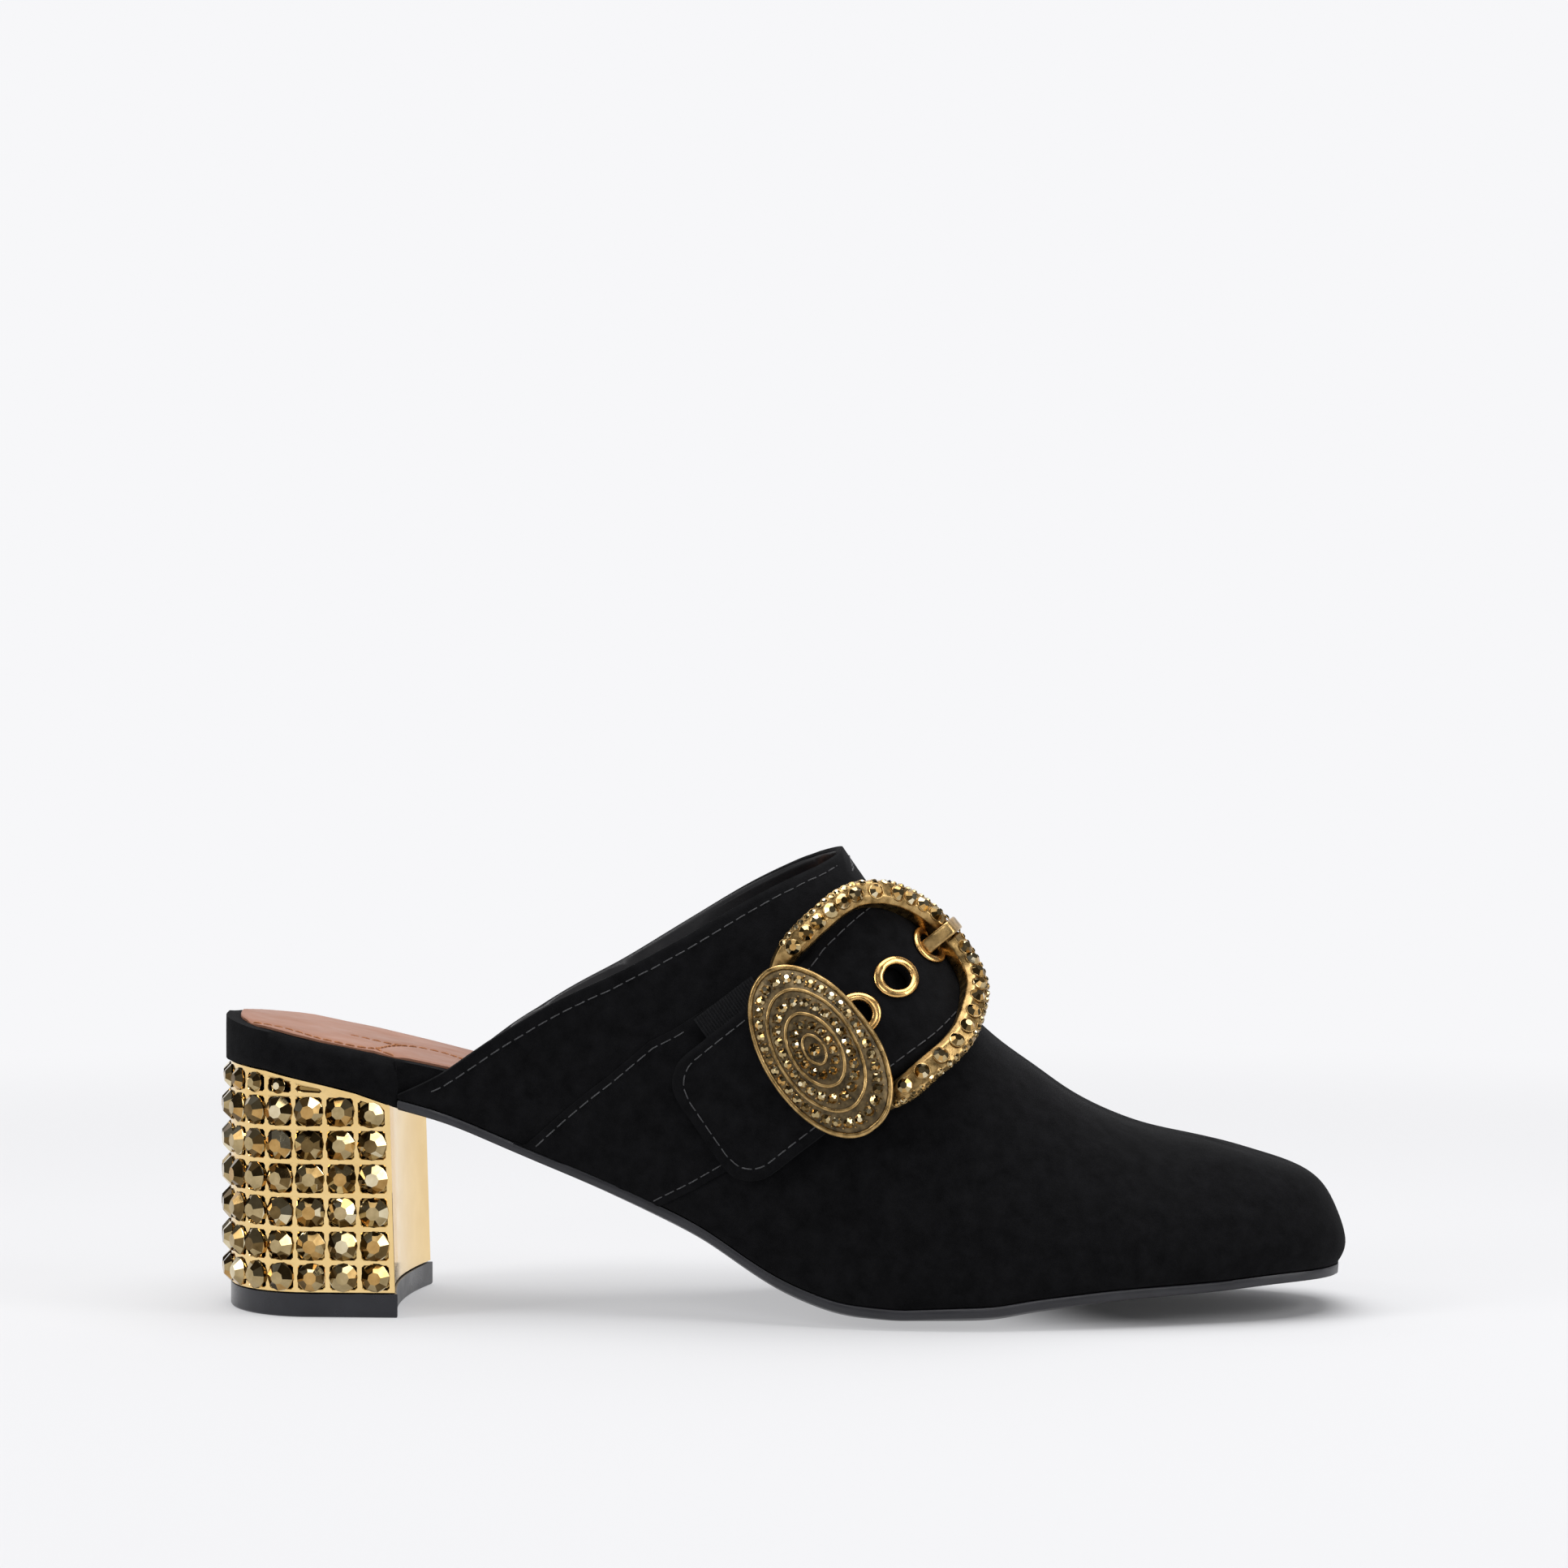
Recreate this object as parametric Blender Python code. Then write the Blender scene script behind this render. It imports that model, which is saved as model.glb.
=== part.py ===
"""Right mule shoe with a block heel and a buckled strap, modelled as separate solids.

X runs to the toe, Y to the inner side of the foot and Z up. The origin is the centre
of the heel tip's ground face. All lengths are in metres.
"""

import math

import bmesh
import bpy
import numpy as np
from mathutils import Vector
from mathutils.bvhtree import BVHTree

MM = 0.001

# Overall sizes of the shoe
SHOE_LENGTH = 251.4 * MM
SEAT_BACK = -22.0 * MM
BALL_WIDTH = 79.0 * MM
SEAT_WIDTH = 53.6 * MM
SEAT_HEIGHT = 55.5 * MM
INSTEP_HEIGHT = 102.6 * MM
TOE_SPRING = 7.6 * MM
TOE_SETBACK = 1.5 * MM

# Thicknesses and clearances
GAP = 0.3 * MM
UPPER_WALL = 1.8 * MM
WING_WALL = 1.0 * MM
WING_LENGTH = 24.0 * MM
SOLE_EDGE = 2.0 * MM
SOLE_BELLY = 3.1 * MM
SEAT_THICKNESS = 9.5 * MM
SOCK_EDGE = 0.5 * MM
SOCK_CROWN = 0.3 * MM
SOCK_INSET = 3.2 * MM
SOCK_CLEARANCE = 0.45 * MM

# Heel
HEEL_DEPTH_FRONT = 18.5 * MM
HEEL_BACK = 21.0 * MM
HEEL_WIDTH = 52.0 * MM
HEEL_LEAN = 1.5 * MM
BREAST_HOLLOW = 2.7 * MM
LIFT_HEIGHT = 5.2 * MM
LIFT_PROUD = 0.5 * MM
CELL_FIRST = 6.5 * MM
CELL_ROW = 7.36 * MM
CELL_ROWS = 6
CELL_COLUMNS = 16
STUD_RADIUS = 3.2 * MM
STUD_TABLE = 1.6 * MM
STUD_RISE = 2.2 * MM
STUD_SIDES = 8
SMALLEST_CELL = 3.4 * MM

# How finely the main form is divided
RIBS = 32
RIB_STEPS = 13
SOLE_STEPS = 6
FOOTBED_FRONT = 20
FOOTBED_SEAT = 14
FOOTBED_STEPS = 4
SEAT_STEP = 0.05 * MM

# The sole from the back of the seat to the toe. Columns: place along the shoe as a share
# of its length, outer and inner half widths as shares of the ball width, height of the
# arch as a share of the seat height, toe spring and belly as shares of theirs, and the
# height of the footbed's top over the sole's edge as a share of the seat's thickness.
SOLE_COLUMNS = ("along", "outer", "inner", "arch", "spring", "belly", "platform")
SOLE = (
    (0.000, 0.339, 0.339, 1.000, 0.00, 0.00, 1.02),
    (0.048, 0.339, 0.339, 0.980, 0.00, 0.00, 0.88),
    (0.088, 0.339, 0.339, 0.938, 0.00, 0.00, 0.90),
    (0.127, 0.342, 0.342, 0.897, 0.00, 0.00, 0.94),
    (0.170, 0.345, 0.343, 0.822, 0.00, 0.06, 1.10),
    (0.219, 0.330, 0.312, 0.746, 0.00, 0.20, 1.20),
    (0.263, 0.310, 0.268, 0.650, 0.00, 0.32, 1.27),
    (0.318, 0.310, 0.253, 0.542, 0.00, 0.45, 1.08),
    (0.374, 0.329, 0.261, 0.430, 0.00, 0.58, 0.78),
    (0.434, 0.365, 0.294, 0.298, 0.00, 0.71, 0.62),
    (0.493, 0.411, 0.354, 0.128, 0.00, 0.81, 0.56),
    (0.521, 0.433, 0.390, 0.067, 0.00, 0.84, 0.53),
    (0.565, 0.467, 0.438, 0.012, 0.00, 0.83, 0.50),
    (0.609, 0.492, 0.473, 0.000, 0.00, 0.80, 0.50),
    (0.672, 0.500, 0.501, 0.000, 0.00, 1.00, 0.50),
    (0.728, 0.476, 0.501, 0.000, 0.26, 0.90, 0.50),
    (0.796, 0.424, 0.473, 0.000, 0.53, 0.74, 0.50),
    (0.875, 0.332, 0.412, 0.000, 0.73, 0.50, 0.50),
    (0.943, 0.252, 0.360, 0.000, 0.94, 0.32, 0.50),
    (1.000, 0.180, 0.308, 0.000, 1.00, 0.20, 0.50),
)
TOE_CAP_START = 0.880
TOE_SQUARENESS = 3.0

# The line of the instep from the toe box to the front of the collar. Columns: place along
# the shoe, sideways place as a share of the ball width, height as a share of the instep.
RIDGE_COLUMNS = ("along", "side", "height")
RIDGE = (
    (0.881, 0.066, 0.362),
    (0.849, 0.070, 0.377),
    (0.817, 0.073, 0.394),
    (0.784, 0.074, 0.424),
    (0.752, 0.072, 0.466),
    (0.720, 0.066, 0.524),
    (0.678, 0.056, 0.604),
    (0.625, 0.046, 0.760),
    (0.573, 0.040, 0.928),
    (0.553, 0.038, 1.000),
)

# The collar's edge from the front of the throat to the heel end of each wing. Columns:
# place along the shoe, outer and inner sideways places as shares of the ball width, outer
# and inner heights as shares of the instep height.
COLLAR_COLUMNS = ("along", "outer", "inner", "outer_height", "inner_height")
COLLAR = (
    (0.553, 0.038, 0.038, 1.000, 1.000),
    (0.551, -0.050, 0.118, 0.993, 1.000),
    (0.546, -0.130, 0.190, 0.982, 0.998),
    (0.533, -0.196, 0.236, 0.964, 0.989),
    (0.505, -0.254, 0.266, 0.932, 0.963),
    (0.465, -0.293, 0.287, 0.881, 0.915),
    (0.428, -0.314, 0.298, 0.826, 0.861),
    (0.390, -0.327, 0.305, 0.774, 0.803),
    (0.350, -0.333, 0.312, 0.724, 0.741),
    (0.302, -0.334, 0.320, 0.669, 0.677),
    (0.261, -0.336, 0.328, 0.607, 0.612),
    (0.228, -0.340, 0.335, 0.556, 0.558),
    (0.211, -0.343, 0.339, 0.526, 0.526),
    (0.187, -0.348, 0.346, 0.491, 0.491),
    (0.171, -0.350, 0.348, 0.478, 0.478),
)

# The ribs of the last, each from the sole's edge up to the instep line or the collar.
# Columns: share of the way round the sole's edge from the toe, place on the top line
# (0 to 1 along the instep, 1 to 2 along the collar), squareness of the side and of the
# crown, how far the wall turns inward in degrees, how much the rib's plan bends towards
# the instep line, and the swell over the sole's edge and the fall of the toe's top to its
# front as shares of theirs.
RIB_COLUMNS = ("round", "top", "square", "crown", "turn", "bend", "swell", "fall")
RIB_TABLE = (
    (0.000, 0.000, 9.0, 3.2, 90.0, 1.0, 1.000, 1.000),
    (0.040, 0.010, 7.8, 3.1, 90.0, 1.0, 1.000, 0.952),
    (0.080, 0.028, 6.2, 3.0, 90.0, 1.0, 1.000, 0.833),
    (0.120, 0.050, 4.9, 2.8, 90.0, 1.0, 0.941, 0.619),
    (0.170, 0.095, 3.8, 2.5, 90.0, 1.1, 0.941, 0.381),
    (0.250, 0.210, 3.0, 2.2, 90.0, 1.3, 0.882, 0.167),
    (0.350, 0.450, 2.5, 2.1, 90.0, 1.7, 0.824, 0.000),
    (0.430, 0.730, 2.3, 2.1, 90.0, 2.0, 0.765, 0.000),
    (0.500, 1.000, 2.2, 2.1, 90.0, 2.0, 0.706, 0.000),
    (0.540, 1.100, 2.1, 2.1, 82.0, 1.8, 0.706, 0.000),
    (0.620, 1.270, 2.0, 2.1, 62.0, 1.3, 0.706, 0.000),
    (0.740, 1.500, 2.0, 2.0, 42.0, 1.0, 0.706, 0.000),
    (0.870, 1.770, 2.0, 2.0, 27.0, 1.0, 0.471, 0.000),
    (1.000, 2.000, 2.0, 2.0, 16.0, 1.0, 0.000, 0.000),
)
SIDE_SWELL = 1.7 * MM
TOE_FALL = 8.4 * MM
PEAK_ROUND = 0.500
THROAT_CROWDING = 1.3
FRONT_SHARE = 0.56

# The rear end of the outsole and of the upper's wings
BREAST_LINE = 20.8 * MM

# The strap's path lies in a plane that is upright across the shoe. It passes through
# this place, given as shares of the shoe's length and of the instep's height, and rises
# towards the instep at this angle. Distances along the strap are counted from its free
# end, those across it upward.
STRAP_PLACE = 0.5704
STRAP_LEVEL = 0.6491
STRAP_RISE = math.radians(36.5)
STRAP_REACH = 25.0 * MM
STRAP_BELOW = 46.0 * MM
STRAP_END = 56.0 * MM
STRAP_START = 4.0 * MM
STRAP_STEP = 2.0 * MM
STRAP_TURNS = 30
STRAP_ROWS = 13
STRAP_WIDTH = 32.0 * MM
STRAP_THICKNESS = 2.0 * MM
STRAP_CORNER = 7.5 * MM
STRAP_CELLS = 6

# The strap from its free end on the outer side to the inner side. Columns, all as shares
# of its width: distance along it, its middle line across, its half width and its height
# over the upper.
STRAP_COLUMNS = ("along", "centre", "half", "lift")
STRAP = (
    (0.0000, -0.0187, 0.4906, 0.0187),
    (0.2812, -0.0187, 0.4906, 0.0219),
    (0.4375, -0.0187, 0.4906, 0.0594),
    (0.6875, -0.0187, 0.4906, 0.0813),
    (0.8750, -0.0187, 0.4844, 0.1219),
    (1.0312, -0.0156, 0.4750, 0.1250),
    (1.2188, 0.0031, 0.4813, 0.0813),
    (1.4062, 0.0375, 0.5062, 0.0437),
    (1.6562, 0.0500, 0.5188, 0.0406),
    (1.8750, 0.0688, 0.5188, 0.0594),
    (2.0625, 0.0813, 0.5188, 0.0938),
    (2.2500, 0.0875, 0.5188, 0.1125),
    (2.5000, 0.0875, 0.5188, 0.0813),
    (2.8750, 0.0875, 0.5188, 0.0281),
    (3.2500, 0.0875, 0.5188, 0.0219),
    (5.3750, 0.0875, 0.5188, 0.0219),
)
STRAP_STATIONS = (
    0.0000, 0.0156, 0.0469, 0.0938, 0.1562, 0.2344, 0.3438, 0.4531, 0.5781,
    0.6875, 0.7969, 0.9062, 1.0156, 1.1250, 1.2344, 1.3438, 1.4688, 1.5938,
    1.7188, 1.8438, 1.9688, 2.0938, 2.2188, 2.3750, 2.5312, 2.6875, 2.8750,
    3.0625, 3.2500, 3.4062, 3.5625, 3.7500, 4.0000, 4.2812, 4.5938, 4.9688,
    5.3750,
)

# Elastic under the strap's free end: ends along, edges across, height and thickness
GORE_ALONG = (13.0 * MM, 28.6 * MM)
GORE_ACROSS = (-14.0 * MM, 20.5 * MM)
GORE_THICKNESS = 1.1 * MM

# Middle line of the buckle's ring. Columns: distance along and across the strap and
# height over the upper as shares of the ring's length, and the bar's size as a share of
# its full one.
RING = (
    (0.7750, 0.2500, 0.0575, 0.55),
    (0.7750, 0.0000, 0.0575, 0.55),
    (0.7750, -0.2500, 0.0575, 0.55),
    (0.7950, -0.3650, 0.0575, 0.60),
    (0.8550, -0.4325, 0.0600, 0.70),
    (0.9500, -0.4575, 0.0750, 0.85),
    (1.0500, -0.4675, 0.1175, 1.00),
    (1.1625, -0.4575, 0.1450, 1.00),
    (1.2750, -0.4500, 0.1475, 1.00),
    (1.3875, -0.4200, 0.1525, 1.00),
    (1.5125, -0.3550, 0.1675, 1.00),
    (1.6500, -0.2700, 0.1950, 1.00),
    (1.7375, -0.1500, 0.2125, 1.00),
    (1.7700, 0.0000, 0.2200, 1.00),
    (1.7575, 0.1250, 0.2175, 1.00),
    (1.7125, 0.2500, 0.2050, 1.00),
    (1.6425, 0.3550, 0.1850, 1.00),
    (1.5500, 0.4375, 0.1650, 1.00),
    (1.4400, 0.4925, 0.1550, 1.00),
    (1.3125, 0.5100, 0.1500, 1.00),
    (1.1875, 0.5050, 0.1450, 1.00),
    (1.0550, 0.4950, 0.1375, 1.00),
    (0.9550, 0.4800, 0.1200, 0.90),
    (0.8625, 0.4425, 0.0800, 0.75),
    (0.8050, 0.3650, 0.0600, 0.60),
)
RING_LENGTH = 40.0 * MM
RING_STEPS = 36
RING_WIDTH = 6.2 * MM
RING_THICKNESS = 3.8 * MM

# Medallion over the hinge bar, eyelets and prong
BOSS_ALONG = 31.5 * MM
BOSS_ACROSS = -2.3 * MM
BOSS_LENGTH = 40.0 * MM
BOSS_WIDTH = 22.0 * MM
BOSS_EDGE = 1.3 * MM
BOSS_DOME = 3.0 * MM
BOSS_CLEARANCE = 1.5 * MM
BOSS_SIDES = 20
EYELET_RADIUS = 5.0 * MM
EYELET_HOLE = 3.0 * MM
EYELET_RISE = 0.7 * MM
EYELET_SIDES = 14
EYELETS = ((42.2 * MM, -0.3 * MM), (53.2 * MM, 1.4 * MM), (66.5 * MM, 2.6 * MM))
PRONG_WIDTH = 2.9 * MM
PRONG_THICKNESS = 1.8 * MM
PRONG_NOTCH = 3.6 * MM

# Middle line of the prong. Columns: distance along the strap and height over the upper,
# as shares of the ring's length. It bears on the ring from the third place on.
PRONG = ((1.630, 0.110), (1.650, 0.195), (1.680, 0.2725), (1.775, 0.2825), (1.860, 0.270))
PRONG_BEARING = 2

SUEDE = ((0.012, 0.012, 0.014), 0.95, 0.0)
SOLE_LEATHER = ((0.03, 0.03, 0.035), 0.45, 0.0)
RUBBER = ((0.025, 0.027, 0.035), 0.6, 0.0)
TAN_LEATHER = ((0.56, 0.30, 0.20), 0.55, 0.0)
GOLD = ((0.83, 0.60, 0.25), 0.15, 1.0)
BRASS = ((0.42, 0.31, 0.14), 0.35, 1.0)
SATIN_GOLD = ((0.72, 0.47, 0.20), 0.3, 1.0)
ELASTIC = ((0.01, 0.01, 0.011), 0.8, 0.0)


def clear_scene():
    """Remove every object of the open file."""
    for item in list(bpy.data.objects):
        bpy.data.objects.remove(item, do_unlink=True)


def material(name, finish):
    """A Principled material with the colour, roughness and metallic value given."""
    colour, roughness, metallic = finish
    made = bpy.data.materials.new(name)
    made.use_nodes = True
    shader = made.node_tree.nodes["Principled BSDF"]
    shader.inputs["Base Color"].default_value = (*colour, 1.0)
    shader.inputs["Roughness"].default_value = roughness
    shader.inputs["Metallic"].default_value = metallic
    return made


def column(table, columns, name):
    """One named column of a table, as an array."""
    return np.array([row[columns.index(name)] for row in table])


def smooth(places, values, at):
    """Smooth curve through the values that never overshoots between two of them."""
    places = np.asarray(places, float)
    values = np.asarray(values, float)
    if places[0] > places[-1]:
        places = places[::-1]
        values = values[::-1]
    steps = np.diff(places)
    slopes = np.diff(values) / steps
    tangents = np.zeros(len(values))
    tangents[0] = slopes[0]
    tangents[-1] = slopes[-1]
    for k in range(1, len(values) - 1):
        if slopes[k - 1] * slopes[k] > 0.0:
            before = 2.0 * steps[k] + steps[k - 1]
            after = steps[k] + 2.0 * steps[k - 1]
            tangents[k] = (before + after) / (before / slopes[k - 1] + after / slopes[k])
    at = np.clip(at, places[0], places[-1])
    cell = np.clip(np.searchsorted(places, at, side="right") - 1, 0, len(steps) - 1)
    share = (at - places[cell]) / steps[cell]
    rise = values[cell + 1] - values[cell]
    return (
        values[cell]
        + rise * (3.0 * share**2 - 2.0 * share**3)
        + steps[cell] * tangents[cell] * (share - 2.0 * share**2 + share**3)
        + steps[cell] * tangents[cell + 1] * (share**3 - share**2)
    )


def spread(points, count):
    """Points at equal distances along a line of many points."""
    points = np.asarray(points, float)
    lengths = np.linalg.norm(np.diff(points, axis=0), axis=1)
    travelled = np.concatenate(([0.0], np.cumsum(lengths)))
    wanted = np.linspace(0.0, travelled[-1], count)
    return np.stack([np.interp(wanted, travelled, axis) for axis in points.T], axis=1)


def along_line(points, share):
    """The point at a share of the length of a line of many points."""
    points = np.asarray(points, float)
    lengths = np.linalg.norm(np.diff(points, axis=0), axis=1)
    travelled = np.concatenate(([0.0], np.cumsum(lengths)))
    wanted = share * travelled[-1]
    return np.array([np.interp(wanted, travelled, axis) for axis in points.T])


def share_of_length(x):
    """Place along the shoe as a share of its length."""
    return (x - SEAT_BACK) / SHOE_LENGTH


def place_along(share):
    """X of a share of the shoe's length."""
    return SEAT_BACK + share * SHOE_LENGTH


def sole_value(name, x):
    """A column of the sole's table at a place along the shoe."""
    places = column(SOLE, SOLE_COLUMNS, "along")
    return smooth(places, column(SOLE, SOLE_COLUMNS, name), share_of_length(x))


def ground_line(x):
    """Height of the middle of the sole's underside."""
    return sole_value("arch", x) * SEAT_HEIGHT + sole_value("spring", x) * TOE_SPRING


def belly(x):
    """How far the sole's edge lies above the middle of its underside."""
    return sole_value("belly", x) * SOLE_BELLY


def edge_line(x):
    """Height of the lower corner of the sole's edge."""
    return ground_line(x) + belly(x)


def feather_height(x):
    """Height at which the upper stands on the sole."""
    return edge_line(x) + SOLE_EDGE + GAP


def footbed_top(x):
    """Height of the footbed's top."""
    return edge_line(x) + sole_value("platform", x) * SEAT_THICKNESS


def upper_wall(x):
    """Thickness of the upper's wall, which is skived towards the heel end of each wing."""
    share = np.clip((x - BREAST_LINE) / WING_LENGTH, 0.0, 1.0)
    return WING_WALL + (UPPER_WALL - WING_WALL) * share * share * (3.0 - 2.0 * share)


def sole_tip():
    """X of the sole's front, behind the toe of the upper."""
    return SEAT_BACK + SHOE_LENGTH - TOE_SETBACK


def half_outline(side, rear=BREAST_LINE, count=400):
    """Plan of one side of the sole from the toe's centre to its rear end.

    The side is -1 for the outer and 1 for the inner one.
    """
    name = "outer" if side < 0 else "inner"
    start = place_along(TOE_CAP_START)
    tip = sole_tip()
    turn = np.linspace(0.5 * math.pi, 0.0, count)
    nose = start + (tip - start) * np.sin(turn) ** (2.0 / TOE_SQUARENESS)
    body = np.linspace(start, rear, count)[1:]
    xs = np.concatenate((nose, body))
    cap = np.concatenate((np.cos(turn) ** (2.0 / TOE_SQUARENESS), np.ones(count - 1)))
    outer = sole_value("outer", xs) * BALL_WIDTH
    inner = sole_value("inner", xs) * BALL_WIDTH
    middle = 0.5 * (inner - outer)
    half = 0.5 * (inner + outer)
    ys = middle + side * half * cap
    line = np.stack((xs, ys), axis=1)
    return line


def inset_line(line, side, inset):
    """Move a half outline inward; its first point stays on the line where the sides meet."""
    steps = np.gradient(line, axis=0)
    steps /= np.linalg.norm(steps, axis=1)[:, None]
    inward = np.stack((-steps[:, 1], steps[:, 0]), axis=1) * side
    moved = line + inward * inset[:, None]
    moved[0, 0] = line[0, 0] - inset[0]
    moved[0, 1] = line[0, 1]
    keep = moved[:, 0] <= moved[0, 0]
    return moved[keep]


def top_line(side, count=400):
    """The instep line from the toe box to the throat, then one side of the collar."""
    along = column(RIDGE, RIDGE_COLUMNS, "along")
    order = np.linspace(along[0], along[-1], count)
    ridge = np.stack(
        (
            place_along(order),
            smooth(along, column(RIDGE, RIDGE_COLUMNS, "side"), order) * BALL_WIDTH,
            smooth(along, column(RIDGE, RIDGE_COLUMNS, "height"), order) * INSTEP_HEIGHT,
        ),
        axis=1,
    )
    name = "outer" if side < 0 else "inner"
    rows = np.arange(len(COLLAR), dtype=float)
    fine = np.linspace(0.0, rows[-1], count)
    collar = np.stack(
        (
            place_along(smooth(rows, column(COLLAR, COLLAR_COLUMNS, "along"), fine)),
            smooth(rows, column(COLLAR, COLLAR_COLUMNS, name), fine) * BALL_WIDTH,
            smooth(rows, column(COLLAR, COLLAR_COLUMNS, name + "_height"), fine)
            * INSTEP_HEIGHT,
        ),
        axis=1,
    )
    return ridge, collar


def top_point(side, place):
    """Point of the top line: 0 to 1 along the instep, 1 to 2 along the collar."""
    ridge, collar = top_line(side)
    if place <= 1.0:
        return along_line(ridge, place)
    return along_line(collar, place - 1.0)


def rib_value(name, share):
    """A column of the rib table at a share of the way round the sole's edge."""
    places = column(RIB_TABLE, RIB_COLUMNS, "round")
    return float(smooth(places, column(RIB_TABLE, RIB_COLUMNS, name), share))


def rib(side, share, steps=RIB_STEPS):
    """Points of one rib of the last's surface, from the sole's edge upward."""
    foot_xy = along_line(half_outline(side), share)
    foot = np.array((*foot_xy, feather_height(foot_xy[0])))
    top = top_point(side, rib_value("top", share))
    turn = math.radians(rib_value("turn", share))
    across = 2.0 / rib_value("square", share)
    upward = 2.0 / rib_value("crown", share)
    angles = np.linspace(0.0, turn, 160)
    closing = math.cos(turn) ** across if turn < 0.499 * math.pi else 0.0
    out = (np.abs(np.cos(angles)) ** across - closing) / (1.0 - closing)
    out[-1] = 0.0
    rise = np.sin(angles) ** upward / math.sin(turn) ** upward
    fall = rib_value("fall", share) * TOE_FALL
    outward = foot[:2] - top[:2]
    outward /= max(np.linalg.norm(outward), 1.0 * MM)
    if rib_value("top", share) > 1.0:
        outward = np.array((0.0, float(side)))
    bulge = rib_value("swell", share) * SIDE_SWELL * rise * (1.0 - rise) ** 3 * 256.0 / 27.0
    flat = top[:2] + (foot[:2] - top[:2]) * out[:, None]
    flat[:, 0] = top[0] + (foot[0] - top[0]) * out ** rib_value("bend", share)
    flat += outward * bulge[:, None]
    height = foot[2] + (top[2] - fall * out - foot[2]) * rise
    line = np.concatenate((flat, height[:, None]), axis=1)
    return spread(line, steps + 1)


def rib_shares():
    """Where the ribs stand round the sole's edge, with one exactly at the throat."""
    front = int(round(RIBS * FRONT_SHARE))
    back = RIBS - front
    forward = np.linspace(0.0, PEAK_ROUND, front + 1)
    rearward = np.linspace(0.0, 1.0, back + 1)[1:] ** THROAT_CROWDING
    rearward = PEAK_ROUND + (1.0 - PEAK_ROUND) * rearward
    return np.concatenate((forward, rearward)), front


def new_object(name, mesh_data, finish):
    """An object in the scene from vertices and faces, with its own material."""
    points, faces = mesh_data
    mesh = bpy.data.meshes.new(name)
    mesh.from_pydata([tuple(map(float, point)) for point in points], [], faces)
    mesh.validate()
    made = bpy.data.objects.new(name, mesh)
    bpy.context.scene.collection.objects.link(made)
    mesh.materials.append(material(name + "_finish", finish))
    face_outward(mesh)
    return made


def face_outward(mesh):
    """Turn every face of a closed mesh outward and merge doubled points."""
    work = bmesh.new()
    work.from_mesh(mesh)
    bmesh.ops.remove_doubles(work, verts=work.verts, dist=0.001 * MM)
    bmesh.ops.recalc_face_normals(work, faces=work.faces)
    if work.calc_volume(signed=True) < 0.0:
        bmesh.ops.reverse_faces(work, faces=work.faces)
    work.to_mesh(mesh)
    work.free()


def slab(name, outer_line, inner_line, top, bottom, across, finish):
    """A solid between two side lines; top and bottom give height by x and share across.

    Where the lines meet at an end, the section there is a single upright edge.
    """
    points = []
    faces = []
    rows = []
    for outer, inner in zip(outer_line, inner_line):
        shares = [0.0] if np.linalg.norm(outer - inner) < 0.01 * MM else None
        shares = shares or list(np.linspace(-1.0, 1.0, across + 1))
        row = []
        for share in shares:
            x, y = outer + (inner - outer) * 0.5 * (share + 1.0)
            row.append((len(points), len(points) + 1))
            points.append((x, y, bottom(x, share)))
            points.append((x, y, top(x, share)))
        rows.append(row)
    for first, second in zip(rows[:-1], rows[1:]):
        join_rows(faces, first, second)
    for end in (rows[0], rows[-1]):
        for left, right in zip(end[:-1], end[1:]):
            faces.append((left[0], right[0], right[1], left[1]))
    return new_object(name, (points, faces), finish)


def join_rows(faces, first, second):
    """Faces of a slab's top, bottom and sides between two of its sections."""
    if len(first) == len(second):
        for k in range(len(first) - 1):
            for level in (0, 1):
                faces.append(
                    (first[k][level], first[k + 1][level],
                     second[k + 1][level], second[k][level])
                )
    else:
        single = first if len(first) == 1 else second
        fan = second if len(first) == 1 else first
        for k in range(len(fan) - 1):
            for level in (0, 1):
                faces.append((single[0][level], fan[k][level], fan[k + 1][level]))
    for end in (0, -1):
        faces.append((first[end][0], second[end][0], second[end][1], first[end][1]))


def make_outsole():
    """Thin sole from the heel breast to the toe, its underside slightly convex."""
    outer, inner = (
        [along_line(half_outline(side), share) for share in rib_shares()[0]]
        for side in (-1, 1)
    )

    def under(x, share):
        rise = np.clip((abs(share) - 0.45) / 0.55, 0.0, 1.0)
        return ground_line(x) + belly(x) * rise**2

    def upper_side(x, share):
        return edge_line(x) + SOLE_EDGE

    return slab("outsole", outer, inner, upper_side, under, SOLE_STEPS, SOLE_LEATHER)


def inner_plan(side, inset):
    """Plan of one side of what lies in the shoe, from the toe round to the seat's back.

    In the shoe it follows the upper's inner wall, and at the seat it is the seat's edge.
    """
    rear = BREAST_LINE - GAP
    line = half_outline(side, rear=rear)
    walls = upper_wall(line[:, 0]) + 1.5 * GAP + inset
    front = inset_line(line, side, walls)
    front[-1, 0] = rear
    join = abs(front[-1, 1])
    half = 0.5 * SEAT_WIDTH - inset
    back = -SEAT_BACK - inset
    turn = np.linspace(0.0, 0.5 * math.pi, 60)
    straight = np.linspace(rear, 0.0, 12, endpoint=False)
    share = straight / rear
    widths = half + (join - half) * share * share * (3.0 - 2.0 * share)
    xs = np.concatenate((straight - SEAT_STEP, -back * np.sin(turn)))
    ys = np.concatenate((widths, half * np.cos(turn)))
    seat = np.stack((xs, side * ys), axis=1)
    return spread(front, FOOTBED_FRONT + 1), spread(seat, FOOTBED_SEAT + 1)


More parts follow.
